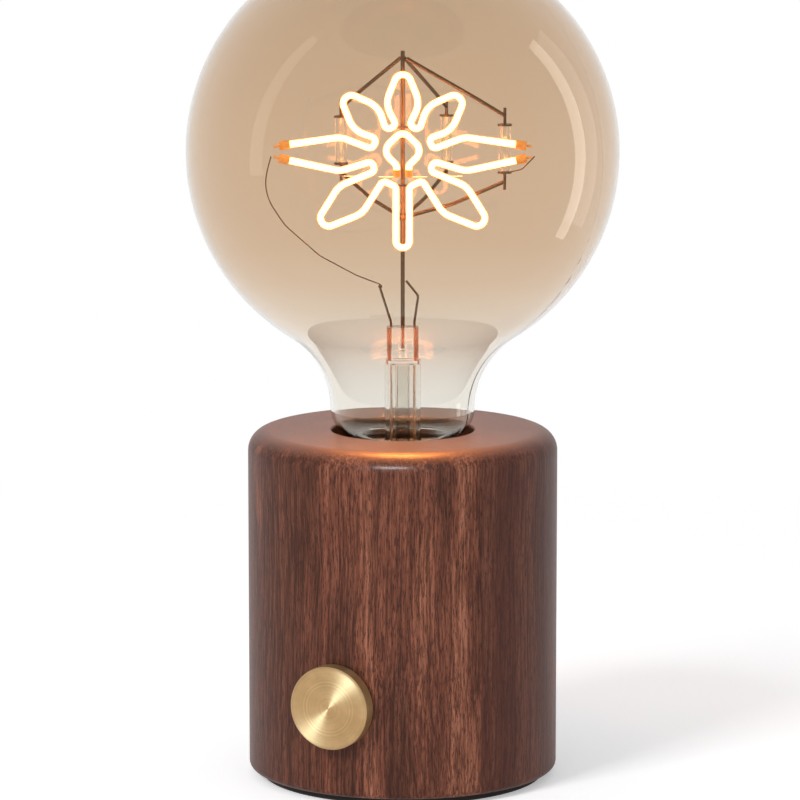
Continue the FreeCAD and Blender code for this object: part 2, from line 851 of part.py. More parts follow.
# ---------------------------------------------------------------- cord outlet
def cord_outlet():
    seat = base_radius - outlet_seat_depth
    inner_end = bay_radius + outlet_pocket_depth - outlet_nut_thickness - outlet_stick_out
    flange = lengthwise(outlet_flange_diameter, seat, seat + outlet_flange_thickness, 0, outlet_z)
    rim = [e for e in flange.Edges if isinstance(e.Curve, Part.Circle)
           and abs(e.Curve.Center.y - seat - outlet_flange_thickness) < 1e-4]
    flange = flange.makeFillet(outlet_flange_edge, rim)
    tube = lengthwise(outlet_tube, inner_end, seat, 0, outlet_z)
    bore = lengthwise(outlet_bore, inner_end, seat + outlet_flange_thickness, 0, outlet_z)
    return flange.fuse(tube).removeSplitter().cut(bore)


def cord_outlet_nut():
    seat = bay_radius + outlet_pocket_depth
    nut = hexagon(outlet_nut_flats, outlet_nut_thickness, Vector(0, seat, outlet_z), Vector(0, -1, 0))
    return nut.cut(lengthwise(outlet_tube + 2 * seal_clearance, 0, base_radius, 0, outlet_z))


# ---------------------------------------------------------------- knob body
def d_section(radius, flat, low, high):
    """A round bar along Y with a flat facing down."""
    bar = lengthwise(2 * radius, low, high, 0, knob_z)
    corner = Vector(-radius, low, knob_z - 2 * radius)
    return bar.cut(Part.makeBox(2 * radius, high - low, 2 * radius - flat, corner))


def knob_cap():
    cap = lengthwise(knob_diameter, knob_face, knob_back, 0, knob_z)
    rims = [e for e in cap.Edges if isinstance(e.Curve, Part.Circle)]
    cap = cap.makeChamfer(knob_edge, rims)
    bore = d_section(shaft_diameter / 2 + running_clearance, shaft_flat + running_clearance,
                     shaft_end, knob_back)
    middle = (shaft_end + knob_back) / 2
    hole = upright(set_screw_diameter + 2 * seal_clearance, knob_z - knob_diameter / 2 - 1,
                   knob_z - shaft_flat, 0, middle)
    return cap.cut(bore).cut(hole)


def knob_set_screw():
    middle = (shaft_end + knob_back) / 2
    high = knob_z - shaft_flat
    low = high - set_screw_length
    screw = upright(set_screw_diameter, low, high, 0, middle)
    socket = hexagon(set_screw_socket, set_screw_socket_depth, Vector(0, middle, low), Vector(0, 0, 1))
    return screw.cut(socket)


def pot_shaft():
    rotor_front = -pot_face + pot_plate + pot_wafer_thickness + pot_rotor_gap
    rotor_back = rotor_front + pot_rotor_thickness
    plain_end = -pot_face - pot_bushing_length
    plain = lengthwise(shaft_diameter, plain_end, rotor_back, 0, knob_z)
    end = d_section(shaft_diameter / 2, shaft_flat, shaft_end, plain_end)
    return plain.fuse(end).removeSplitter()


def pot_rotor():
    """The disc that carries the wiper along the track."""
    front = -pot_face + pot_plate + pot_wafer_thickness + pot_rotor_gap
    back = front + pot_rotor_thickness
    disc = lengthwise(pot_rotor_diameter, front, back, 0, knob_z)
    return disc.cut(lengthwise(shaft_diameter + 2 * seal_clearance, front, back, 0, knob_z))


def pot_wiper():
    front = -pot_face + pot_plate + pot_wafer_thickness + running_clearance
    corner = Vector(-pot_wiper_width / 2, front, knob_z + pot_wiper_reach)
    return Part.makeBox(pot_wiper_width, pot_rotor_gap - running_clearance, pot_wiper_height, corner)


# ---------------------------------------------------------------- bulb: cap
def tip_contact():
    tip = upright(tip_diameter, bulb_bottom, bulb_bottom + tip_height)
    return tip.makeFillet(tip_edge, circle_edges(tip, tip_diameter / 2, bulb_bottom))


def cap_insulator():
    low = bulb_bottom + tip_height
    cone = Part.makeCone(insulator_foot / 2, insulator_top / 2, insulator_height, Vector(0, 0, low))
    return cone.cut(upright(cap_wire_diameter + 2 * seal_clearance, low, shell_bottom))


def cap_shell():
    outer = cap_minor / 2
    skirt = cap_skirt_diameter / 2
    skirt_low = cap_top - cap_skirt_height
    cone_low = skirt_low - cap_skirt_cone
    lip = shell_bottom + cap_lip_height
    body = turned([
        (cap_lip_bore / 2, shell_bottom), (outer, shell_bottom), (outer, cone_low),
        (skirt, skirt_low), (skirt, cap_top), (skirt - cap_wall, cap_top),
        (skirt - cap_wall, skirt_low), (outer - cap_wall, cone_low), (outer - cap_wall, lip),
        (cap_lip_bore / 2, lip),
    ])
    thread = ridge(cap_minor, cap_major, ridge_foot_width, ridge_top_width,
                   shell_bottom + thread_start, thread_turns)
    return body.fuse(thread).removeSplitter()


def cap_cement():
    neck = neck_tube_diameter / 2 + seal_clearance
    outer = cap_minor / 2 - cap_wall - seal_clearance
    skirt = cap_skirt_diameter / 2 - cap_wall - seal_clearance
    skirt_low = cap_top - cap_skirt_height
    cone_low = skirt_low - cap_skirt_cone
    high = cap_top - cement_set_back
    low = high - cement_depth
    return turned([(neck, low), (outer, low), (outer, cone_low), (skirt, skirt_low),
                   (skirt, high), (neck, high)])


def driver_board():
    low = bulb_bottom + driver_height
    return upright(driver_diameter, low, low + driver_thickness)


def driver_parts():
    top = bulb_bottom + driver_height + driver_thickness
    place = in_bulb(0, driver_part_offset, top)
    capacitor = upright(driver_capacitor_diameter, top, top + driver_capacitor_height,
                        place.x, place.y)
    place = in_bulb(0, -driver_part_offset, top)
    bridge = block(driver_bridge, (place.x, place.y), top)
    return [capacitor, bridge]


def cap_wires():
    """One wire from the board to the tip, and one to the side of the cap."""
    board = bulb_bottom + driver_height
    centre = upright(cap_wire_diameter, bulb_bottom + tip_height, board)
    side = cap_minor / 2 - cap_wall
    points = [in_bulb(cap_wire_offset, 0, board), in_bulb(cap_wire_offset, 0, board - cap_wire_drop),
              in_bulb(side, 0, board - cap_wire_drop)]
    return [centre, wire_along(points, [cap_wire_bend], cap_wire_diameter)]


# ---------------------------------------------------------------- bulb: glass
def on_circle(centre, radius, toward):
    """The point of a circle in the XZ plane that lies toward another point."""
    return centre + (toward - centre).normalize() * radius


def arc_between(centre, radius, start, end):
    return Part.Arc(start, on_circle(centre, radius, (start + end) * 0.5), end)


def glass_outline(inset):
    """Edges of the bulb's outline, this far inside the glass, from the globe's top to the neck's end."""
    ball = globe_radius - inset
    sweep = neck_sweep + inset
    shoulder = shoulder_radius - inset
    curve = neck_tube_sweep + inset
    globe_middle = Vector(0, 0, globe_z)
    sweep_middle = Vector(sweep_r, 0, neck_z)
    shoulder_middle = Vector(shoulder_r, 0, neck_z)
    curve_middle = Vector(tube_curve_r, 0, tube_curve_z)

    top = Vector(0, 0, globe_z + ball)
    side = Vector(ball, 0, globe_z)
    leave_ball = on_circle(globe_middle, ball, sweep_middle)
    neck = Vector(sweep_r - sweep, 0, neck_z)
    leave_shoulder = on_circle(shoulder_middle, shoulder, curve_middle)
    tube_side = Vector(tube_curve_r - curve, 0, tube_curve_z)
    end = Vector(tube_curve_r - curve, 0, neck_bottom)
    curves = [
        arc_between(globe_middle, ball, top, side),
        arc_between(globe_middle, ball, side, leave_ball),
        arc_between(sweep_middle, sweep, leave_ball, neck),
        arc_between(shoulder_middle, shoulder, neck, leave_shoulder),
        arc_between(curve_middle, curve, leave_shoulder, tube_side),
        Part.LineSegment(tube_side, end),
    ]
    return [curve.toShape() for curve in curves], top, end


def glass_envelope():
    outer, outer_top, outer_end = glass_outline(0.0)
    inner, inner_top, inner_end = glass_outline(glass_wall)
    rim = Part.LineSegment(outer_end, inner_end).toShape()
    axis = Part.LineSegment(outer_top, inner_top).toShape()
    loop = Part.Wire(Part.__sortEdges__(outer + inner + [rim, axis]))
    return Part.Face(loop).revolve(Vector(0, 0, 0), Vector(0, 0, 1), 360)


def stem_glass():
    """The flared tube that closes the neck, with the pinch that seals the wires at its top."""
    outer = stem_diameter / 2
    inner = outer - stem_wall
    rim = neck_tube_diameter / 2 - glass_wall - seal_clearance
    rise = math.sqrt(stem_flare_sweep ** 2 - (stem_flare_sweep - (rim - outer)) ** 2)
    flare_top = neck_bottom + rise

    def flare_edge(wall):
        tube = outer - wall
        sweep = stem_flare_sweep + wall
        centre = Vector(outer + stem_flare_sweep, 0, flare_top)
        low_r = outer + stem_flare_sweep - math.sqrt(sweep ** 2 - rise ** 2)
        start = Vector(low_r, 0, neck_bottom)
        end = Vector(tube, 0, flare_top)
        return arc_between(centre, sweep, start, end).toShape(), start, end

    outside, outside_low, outside_high = flare_edge(0.0)
    inside, inside_low, inside_high = flare_edge(stem_wall)
    outside_top = Vector(outer, 0, pinch_low)
    inside_top = Vector(inner, 0, pinch_low)
    edges = [outside, Part.LineSegment(outside_high, outside_top).toShape(),
             Part.LineSegment(outside_top, inside_top).toShape(),
             Part.LineSegment(inside_top, inside_high).toShape(), inside,
             Part.LineSegment(inside_low, outside_low).toShape()]
    loop = Part.Wire(Part.__sortEdges__(edges))
    tube = Part.Face(loop).revolve(Vector(0, 0, 0), Vector(0, 0, 1), 360)

    corner = Vector(-pinch_width / 2, -pinch_thickness / 2, pinch_low)
    pinch = Part.makeBox(pinch_width, pinch_thickness, pinch_height, corner)
    long_edges = [e for e in pinch.Edges if abs(e.Length - pinch_height) < 1e-6]
    pinch = pinch.makeFillet(pinch_edge, long_edges)
    pinch.rotate(Vector(0, 0, 0), Vector(0, 0, 1), bulb_turn)
    plug = upright(stem_diameter, pinch_low, pinch_low + stem_plug)
    glass = tube.fuse(plug).fuse(pinch).removeSplitter()
    rod_hole = rod_diameter + 2 * seal_clearance
    glass = glass.cut(upright(rod_hole, pinch_high - rod_embed, pinch_high))
    for side in (-1, 1):
        low = in_bulb(side * lead_spread, 0, pinch_low)
        high = in_bulb(side * lead_spread, 0, pinch_high)
        glass = glass.cut(straight_wire(low, high, lead_diameter + 2 * seal_clearance))
    return glass


def exhaust_tube():
    low = pinch_low - exhaust_length
    tube = washer(exhaust_diameter, exhaust_diameter - 2 * exhaust_wall, low, pinch_low)
    seal = upright(exhaust_diameter, low, low + exhaust_wall)
    return tube.fuse(seal).removeSplitter()


# ---------------------------------------------------------------- bulb: filament frame
def support_rod():
    return upright(rod_diameter, pinch_high - rod_embed, globe_z + rod_above_centre)


def left_lead_tip():
    aside, rise = left_lead_end
    return in_bulb(-lead_spread - aside, 0, pinch_high + rise)


def lead_wires():
    """Two wires up through the pinch: one bends aside, one bends in to the rod."""
    board = bulb_bottom + driver_height + driver_thickness
    straight_top = pinch_high + lead_rise
    touch = (rod_diameter + lead_diameter) / 2 + touch_gap
    aside, rise = right_lead_elbow
    left = [in_bulb(-lead_spread, 0, board), in_bulb(-lead_spread, 0, straight_top), left_lead_tip()]
    right = [in_bulb(lead_spread, 0, board), in_bulb(lead_spread, 0, straight_top),
             in_bulb(lead_spread + aside, 0, pinch_high + rise),
             in_bulb(touch, 0, pinch_high + right_lead_top)]
    return [wire_along(left, [lead_bend], lead_diameter),
            wire_along(right, [lead_bend, right_lead_bend], lead_diameter)]


def weld_beads():
    """Small round welds: at the free end of the left lead and where the lower arms leave the rod."""
    lead_radius = lead_bead_diameter / 2
    lead_bead = Part.makeSphere(lead_radius, left_lead_tip() + Vector(0, 0, lead_radius))
    rod_foot = globe_z + rod_foot_height
    rod_bead = Part.makeSphere(bead_diameter / 2, Vector(0, 0, rod_foot))
    rod_hole = upright(rod_diameter + 2 * seal_clearance, rod_foot - bead_diameter,
                       rod_foot + bead_diameter)
    return [lead_bead, rod_bead.cut(rod_hole)]


def arm_point(angle, reach, height):
    """A point of an arm: angle 0 lies to the right of the figure, positive angles go behind it."""
    turn = math.radians(angle)
    return in_bulb(reach * math.cos(turn), -reach * math.sin(turn), globe_z + height)


def upper_arms():
    arms = []
    for angle in arm_angles:
        disc = arm_point(angle, arm_reach, upper_disc)
        points = [arm_point(angle, (rod_diameter + arm_diameter) / 2, rod_arm_height),
                  arm_point(angle, arm_reach * elbow_share, upper_elbow_height),
                  arm_point(angle, arm_reach, upper_disc + post_length * arm_end_share)]
        arm = wire_along(points, [upper_arm_bend], arm_diameter)
        post = upright(post_diameter, disc.z, disc.z + post_length, disc.x, disc.y)
        plate = upright(disc_diameter, disc.z, disc.z + disc_thickness, disc.x, disc.y)
        arms.append(arm.fuse(post).fuse(plate).removeSplitter())
    return arms


def lower_arms():
    arms = []
    start = bead_diameter / 2 - arm_weld_depth
    for angle in arm_angles:
        disc = arm_point(angle, arm_reach, lower_disc)
        points = [arm_point(angle, start, rod_foot_height),
                  arm_point(angle, arm_reach * knee_share, lower_knee_height),
                  arm_point(angle, arm_reach * elbow_share, lower_elbow_height),
                  arm_point(angle, arm_reach, lower_disc - post_length * arm_end_share)]
        arm = wire_along(points, [lower_arm_bend, lower_arm_bend], arm_diameter)
        post = upright(post_diameter, disc.z - post_length, disc.z, disc.x, disc.y)
        plate = upright(disc_diameter, disc.z - disc_thickness, disc.z, disc.x, disc.y)
        ball = Part.makeSphere(bead_diameter / 2 + seal_clearance,
                               Vector(0, 0, globe_z + rod_foot_height))
        arms.append(arm.cut(ball).fuse(post).fuse(plate).removeSplitter())
    return arms


def glass_insulators():
    """Clear tubes between the upper and lower discs."""
    tubes = []
    for angle in arm_angles:
        low = arm_point(angle, arm_reach, lower_disc)
        high = arm_point(angle, arm_reach, upper_disc)
        tubes.append(washer_at(insulator_tube, insulator_tube_bore, low.z, high.z, low.x, low.y))
    return tubes


# ---------------------------------------------------------------- bulb: glowing figure
# The figure is a flower on a leafy stalk: loops that start and end near one centre.
def loop_point(angle, along, aside):
    """A point of a loop: along its own direction from the figure's centre, and aside from it."""
    turn = math.radians(angle)
    across = along * math.cos(turn) - aside * math.sin(turn)
    up = along * math.sin(turn) + aside * math.cos(turn)
    return in_bulb(across, strand_stand_off, figure_z + up)


def half_loop(angle, length, half_width, side):
    """The end of a strand that runs out along one edge of a side petal, tip last."""
    return [(loop_point(angle, loop_foot, side * loop_foot_gap), foot_bend),
            (loop_point(angle, length * bulge_share, side * half_width), bulge_bend),
            (loop_point(angle, length, side * side_end_gap), 0.0)]


def whole_loop(angle, length, half_width, side):
    """A petal or leaf, entered on one side and left on the other."""
    bulge = length * bulge_share
    return [(loop_point(angle, loop_foot, side * loop_foot_gap), foot_bend),
            (loop_point(angle, bulge, side * half_width), bulge_bend),
            (loop_point(angle, length, 0), tip_bend),
            (loop_point(angle, bulge, -side * half_width), bulge_bend),
            (loop_point(angle, loop_foot, -side * loop_foot_gap), foot_bend)]


def stalk_loop(angle, length, half_width, side):
    """The narrow double stroke of the stalk."""
    bend = half_width - touch_gap
    return [(loop_point(angle, loop_foot, side * half_width), foot_bend),
            (loop_point(angle, length, side * half_width), bend),
            (loop_point(angle, length, -side * half_width), bend),
            (loop_point(angle, loop_foot, -side * half_width), foot_bend)]


def strand(stops):
    points = [point for point, bend in stops]
    bends = [bend for point, bend in stops[1:-1]]
    return wire_along(points, bends, strand_diameter)


side_angles = (178.0, 2.0)
petal_angles = (134.0, 90.0, 46.0)
leaf_angles = (220.0, 320.0)
stalk_angle = 270.0


def flower_strand():
    left, right = side_angles
    stops = half_loop(left, side_length, side_half_width, -1)[::-1]
    for angle in petal_angles:
        stops += whole_loop(angle, petal_length, petal_half_width, 1)
    stops += half_loop(right, side_length, side_half_width, 1)
    return strand(stops)


def sprig_strand():
    left, right = side_angles
    stops = half_loop(left, side_length, side_half_width, 1)[::-1]
    stops += whole_loop(leaf_angles[0], leaf_length, leaf_half_width, -1)
    stops += stalk_loop(stalk_angle, stalk_length, stalk_half_width, -1)
    stops += whole_loop(leaf_angles[1], leaf_length, leaf_half_width, -1)
    stops += half_loop(right, side_length, side_half_width, -1)
    return strand(stops)


def heart_strand():
    """A small drop in the flower's centre, open below."""
    half = [((-heart_gap, heart_foot), 0.0), ((-heart_gap, heart_foot + heart_neck), foot_bend),
            ((-heart_half_width, heart_shoulder), heart_bend)]
    tip = [((0.0, heart_top), tip_bend)]
    stops = half + tip + [((-x, z), bend) for (x, z), bend in half[::-1]]
    return strand([(in_bulb(x, strand_stand_off, figure_z + z), bend) for (x, z), bend in stops])


def strand_ferrules():
    """Metal sleeves on the six ends of the strands, with pins on the outer four."""
    shapes = []
    for angle in side_angles:
        for side in (-1, 1):
            end, way = side_end(angle, side)
            sleeve = Part.makeCylinder(ferrule_diameter / 2, ferrule_length, end, way)
            pin = Part.makeCylinder(pin_diameter / 2, pin_length, end + way * ferrule_length, way)
            shapes.append(sleeve.fuse(pin).removeSplitter())
    for side in (-1, 1):
        end, way = heart_end(side)
        shapes.append(Part.makeCylinder(strand_diameter / 2, heart_ferrule_length, end, way))
    return shapes


def side_end(angle, side):
    """Where a strand ends at a side petal's tip, and the way it points there."""
    bulge = loop_point(angle, side_length * bulge_share, side * side_half_width)
    end = loop_point(angle, side_length, side * side_end_gap)
    return end, (end - bulge).normalize()


def heart_end(side):
    """Where the heart's drop ends, and the way its sleeve hangs there."""
    return in_bulb(side * heart_gap, strand_stand_off, figure_z + heart_foot), Vector(0, 0, -1)


def filament_ties():
    """Cross wires on the rod that carry the strands from behind."""
    behind = strand_stand_off - strand_diameter / 2 - tie_diameter / 2 - touch_gap
    shapes = []
    for height in (loop_foot - upper_tie_drop, lower_tie_rise - loop_foot):
        level = figure_z + height
        bar = straight_wire(in_bulb(-tie_half_length, behind, level),
                            in_bulb(tie_half_length, behind, level), tie_diameter)
        link = straight_wire(in_bulb(0, rod_diameter / 2 + touch_gap, level),
                             in_bulb(0, behind, level), tie_diameter)
        shapes.append(bar.fuse(link).removeSplitter())
    level = figure_z + heart_top - heart_tie_drop
    back = strand_stand_off - strand_diameter / 2 - touch_gap
    shapes.append(straight_wire(in_bulb(0, rod_diameter / 2 + touch_gap, level),
                                in_bulb(0, back, level), tie_diameter))
    return shapes


def side_pin_end(angle, side):
    """Just past the end of an outer sleeve's pin."""
    end, way = side_end(angle, side)
    return end + way * (ferrule_length + pin_length + 2 * tail_diameter)


def tail_wires():
    """A hair-thin wire from the left lead up to the left ferrules, and a short one on the right."""
    start = left_lead_tip() + Vector(0, 0, lead_bead_diameter + touch_gap)
    stops = [in_bulb(across, forward, pinch_high + rise) for across, forward, rise in left_tail_stops]
    left = [start] + stops + [side_pin_end(side_angles[0], 1)]
    disc = arm_point(arm_angles[0], arm_reach, lower_disc)
    corner = in_bulb(arm_reach + right_tail_reach, right_tail_forward, disc.z + right_tail_rise)
    right = [disc + in_bulb(disc_diameter / 2, 0, 0), corner, side_pin_end(side_angles[1], -1)]
    return [wire_along(left, left_tail_bends, tail_diameter),
            wire_along(right, [right_tail_bend], tail_diameter)]


# ---------------------------------------------------------------- every piece, by body
base_pieces = {
    "walnut_body": walnut_body,
    "foot_pad": foot_pad,
    "base_plate": base_plate,
    "base_plate_screws": base_plate_screws,
    "nipple": nipple,
    "nipple_nuts": nipple_nuts,
    "nipple_washer": nipple_washer,
    "lampholder_dome": lampholder_dome,
    "lampholder_skirt": lampholder_skirt,
    "terminal_block": terminal_block,
    "terminals": terminals,
    "terminal_screws": terminal_screws,
    "contact_rivets": contact_rivets,
    "centre_contact": centre_contact,
    "screw_shell": screw_shell,
    "dimmer_board": dimmer_board,
    "board_pillars": board_pillars,
    "board_screws": board_screws,
    "choke": choke,
    "film_capacitor": film_capacitor_box,
    "triac": triac,
    "fuse": fuse,
    "wire_connector": wire_connector,
    "holder_wires": holder_wires,
    "pot_frame": pot_frame,
    "pot_case": pot_case,
    "pot_wafer": pot_wafer,
    "pot_tags": pot_tags,
    "pot_leads": pot_leads,
    "pot_nut": pot_nut,
    "pot_washer": pot_washer,
    "cord_outlet": cord_outlet,
    "cord_outlet_nut": cord_outlet_nut,
}
knob_pieces = {
    "knob_cap": knob_cap,
    "knob_set_screw": knob_set_screw,
    "pot_shaft": pot_shaft,
    "pot_rotor": pot_rotor,
    "pot_wiper": pot_wiper,
}
bulb_pieces = {
    "tip_contact": tip_contact,
    "cap_insulator": cap_insulator,
    "cap_shell": cap_shell,
    "cap_cement": cap_cement,
    "driver_board": driver_board,
    "driver_parts": driver_parts,
    "cap_wires": cap_wires,
    "glass_envelope": glass_envelope,
    "stem_glass": stem_glass,
    "exhaust_tube": exhaust_tube,
    "support_rod": support_rod,
    "lead_wires": lead_wires,
    "weld_beads": weld_beads,
    "upper_arms": upper_arms,
    "lower_arms": lower_arms,
    "glass_insulators": glass_insulators,
    "flower_strand": flower_strand,
    "sprig_strand": sprig_strand,
    "heart_strand": heart_strand,
    "strand_ferrules": strand_ferrules,
    "filament_ties": filament_ties,
    "tail_wires": tail_wires,
}


def write_parts():
    os.makedirs("parts", exist_ok=True)
    for pieces in (base_pieces, knob_pieces, bulb_pieces):
        for name, make in pieces.items():
            shape = make()
            if isinstance(shape, list):
                shape = Part.makeCompound(shape)
            shape.exportStep("parts/" + name + ".step")
            print(name, len(shape.Solids), round(shape.Volume, 1), shape.isValid())


write_parts()
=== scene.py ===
# %% [markdown]
# # A bare bulb table lamp
# A turned walnut cylinder, a globe bulb standing bare in its top, and a brass dimmer knob.
# The construction arrives as a fixed frame: every part already has its real size and place, so this
# lesson only dresses it. We set the camera first, so that every finish is judged in the same frame, and
# then dress the lamp from its largest piece to its smallest: wood, brass, glass, glowing strands, small
# metals and plastics. The floor and the lamps come last.

import math

import bmesh
import bpy
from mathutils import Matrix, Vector


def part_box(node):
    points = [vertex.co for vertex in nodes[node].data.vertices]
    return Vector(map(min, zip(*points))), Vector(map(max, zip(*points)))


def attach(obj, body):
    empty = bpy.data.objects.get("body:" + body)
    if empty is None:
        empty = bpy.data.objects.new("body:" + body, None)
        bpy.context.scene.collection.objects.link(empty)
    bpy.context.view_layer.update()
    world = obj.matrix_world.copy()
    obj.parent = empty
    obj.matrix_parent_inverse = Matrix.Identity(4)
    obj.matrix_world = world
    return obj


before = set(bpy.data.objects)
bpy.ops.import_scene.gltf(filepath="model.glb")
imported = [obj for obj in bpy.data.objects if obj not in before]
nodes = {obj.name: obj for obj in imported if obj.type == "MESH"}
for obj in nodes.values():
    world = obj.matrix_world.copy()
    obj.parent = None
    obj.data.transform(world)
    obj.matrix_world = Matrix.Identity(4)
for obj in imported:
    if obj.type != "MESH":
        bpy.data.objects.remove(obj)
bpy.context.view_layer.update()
print("parts in the frame:", len(nodes))

# %% [markdown]
# ## Sizes we take from the frame
# A dresser never guesses where a part is. The box of a node gives its lowest and highest corner, and
# from a few boxes follow the middle of the globe, the wood's top and the middle of the knob.

# %% Places and small helpers
MM = 0.001


def box_middle(name):
    low, high = (Vector(corner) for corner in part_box(name))
    return (low + high) / 2


globe_low, globe_high = (Vector(corner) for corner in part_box("glass_envelope"))
globe_radius = (globe_high.x - globe_low.x) / 2
globe_middle = Vector((0, 0, globe_high.z - globe_radius))
wood_low, wood_high = (Vector(corner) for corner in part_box("walnut_body"))
knob_middle = box_middle("knob_cap")
print("globe radius, mm:", round(globe_radius / MM, 2))

# %% [markdown]
# ## The camera
# The photograph was taken from about 1.4 m away with a long lens, a little above the wood's top, and
# turned 25 degrees to the right of the knob's shaft. A long lens could be faked by moving close with a
# wide one, but then the ellipse of the hole would be too open. So the real distance is used.

# %% Camera
camera_turn = math.radians(25.0)
camera_tilt = math.radians(9.29)
camera_distance = 1379 * MM
camera_height = 336 * MM
lens_mm = 216.4
sensor_mm = 36.0
frame_pixels = 800
shift_pixels = -2.7
camera_data = bpy.data.cameras.new("camera")
camera_data.sensor_width = sensor_mm
camera_data.lens = lens_mm
camera_data.shift_x = shift_pixels / frame_pixels
camera = bpy.data.objects.new("camera", camera_data)
bpy.context.scene.collection.objects.link(camera)
camera.location = (camera_distance * math.sin(camera_turn),
                   -camera_distance * math.cos(camera_turn), camera_height)
camera.rotation_euler = (math.pi / 2 - camera_tilt, 0, camera_turn)
bpy.context.scene.camera = camera
print("camera distance, mm:", round(camera.location.length / MM))

# Directions that the lamps are placed along, as seen from the camera.
to_right = Vector((math.cos(camera_turn), math.sin(camera_turn), 0))
to_camera = Vector((math.sin(camera_turn), -math.cos(camera_turn), 0))

# %% [markdown]
# ## Colour and nodes
# Colours are written as the eye meets them on a screen, in sRGB hex, and one function turns them to the
# linear values that light is added up in. One small function adds a shader node with its settings and
# links: a whole material then reads as a list of what feeds what. A Mix node for colours takes its share
# at input 0 and its two colours at inputs 6 and 7, and gives the result at output 2.

# %% Helpers for colours and materials


def linear(hex_colour):
    """An sRGB hex colour as a linear colour with alpha."""
    parts = [int(hex_colour[k:k + 2], 16) / 255 for k in (1, 3, 5)]
    return tuple(c / 12.92 if c <= 0.04045 else ((c + 0.055) / 1.055) ** 2.4 for c in parts) + (1.0,)


def add(tree, kind, inputs=None, stops=(), **settings):
    """Adds a node: settings are its own properties, inputs are values or sockets to link from, and
    stops are the (place, hex colour) pairs of a colour ramp."""
    node = tree.nodes.new(kind)
    for name, value in settings.items():
        setattr(node, name, value)
    for name, value in (inputs or {}).items():
        if isinstance(value, bpy.types.NodeSocket):
            tree.links.new(value, node.inputs[name])
        else:
            node.inputs[name].default_value = value
    if stops:
        elements = node.color_ramp.elements
        while len(elements) < len(stops):
            elements.new(0.5)
        for element, (place, colour) in zip(elements, stops):
            element.position = place
            element.color = linear(colour)
    return node


def start_material(name, **surface):
    """A material with one Principled surface. The words of surface are its sockets' constants."""
    material = bpy.data.materials.new(name)
    material.use_nodes = True
    tree = material.node_tree
    shader = tree.nodes["Principled BSDF"]
    for socket, value in surface.items():
        shader.inputs[socket.replace("_", " ")].default_value = value
    return material, tree, shader


def stretched(tree, across_mm, along_mm):
    """The row's coordinates counted in grains that are across_mm wide and along_mm tall."""
    where = add(tree, "ShaderNodeTexCoord")
    scale = (1 / (across_mm * MM), 1 / (across_mm * MM), 1 / (along_mm * MM))
    return add(tree, "ShaderNodeMapping", {"Vector": where.outputs["Object"], "Scale": scale})


def speckled(name, dark, light, grain_mm, bump_mm=0.01, roughness=(0.4, 0.55), **surface):
    """A finish of fine grain: the grain moves the colour, the roughness and the height a little."""
    material, tree, shader = start_material(name, **surface)
    where = stretched(tree, grain_mm, grain_mm)
    grain = add(tree, "ShaderNodeTexNoise", {"Vector": where.outputs["Vector"], "Scale": 1.0,
                                             "Detail": 3.0})
    height = grain.outputs["Fac"]
    rough = add(tree, "ShaderNodeMapRange", {"Value": height, "To Min": roughness[0],
                                             "To Max": roughness[1]})
    bump = add(tree, "ShaderNodeBump", {"Height": height, "Distance": bump_mm * MM})
    colour = add(tree, "ShaderNodeValToRGB", {"Fac": height}, [(0.3, dark), (0.7, light)])
    tree.links.new(colour.outputs["Color"], shader.inputs["Base Color"])
    tree.links.new(rough.outputs["Result"], shader.inputs["Roughness"])
    tree.links.new(bump.outputs["Normal"], shader.inputs["Normal"])
    return material


finishes = {}

# %% [markdown]
# ## Walnut, turned and finished with satin oil
# Walnut is a warm brown wood with open pores. On the side of this cylinder the grain runs upright, so
# the eye sees three things: soft bands some 10 mm wide, long silky streaks under 1 mm wide, and short
# dark pores, a quarter of a millimetre wide and about 3 mm long. An image could show them, but a solid
# pattern in three dimensions also runs correctly over the rounded edge and into the hole. Two boards are
# glued side by side, so beyond an upright plane the pattern starts afresh and is a little darker. A
# satin oil leaves a weak gloss that is broad on the wood and narrower on the thin film over it.
# Part of the colour is painted light: shade on the left side and in the bore, and a sheen on the top.

# %% Walnut
BAND_MM = (9.0, 150.0)
STREAK_MM = (0.75, 20.0)
PORE_MM = (0.27, 3.2)
GROUND_BROWNS = [(0.36, "#6C402F"), (0.5, "#8E5641"), (0.62, "#AC6F56")]
SILK_GREYS = [(0.38, "#8A7D77"), (0.5, "#CDC2BB"), (0.62, "#FFFFFF")]
PORE_BROWN = "#381A12"
SECOND_BOARD_BROWN = "#48251C"
# Plain end grain on the top, with a painted sheen in its greyish brown.
END_GRAIN_SHEEN_BROWN = "#70524A"
# Painted shade inside the bore for the bulb.
BORE_SHADE_BROWN = "#1E110D"
BOARD_TURN = math.radians(25.0)
GRAIN_LEAN = math.radians(2.5)
WANDER_MM = 55.0
FIBRE_WANDER = 6 * MM
GLUE_LINE = 22.5 * MM
SECOND_BOARD_START = (0.31, 0.17, 0.05)  # metres that the second board's pattern is moved by
SECOND_BOARD_SHADE = 0.60
# The span across the boards over which painted shade darkens the left side.
LEFT_SIDE_SHADE_SPAN = (-34 * MM, -10 * MM)
PORE_DARKNESS = 0.74
PORE_DEPTH = 0.05 * MM
BORE_RADII = (20.8 * MM, 21.2 * MM)


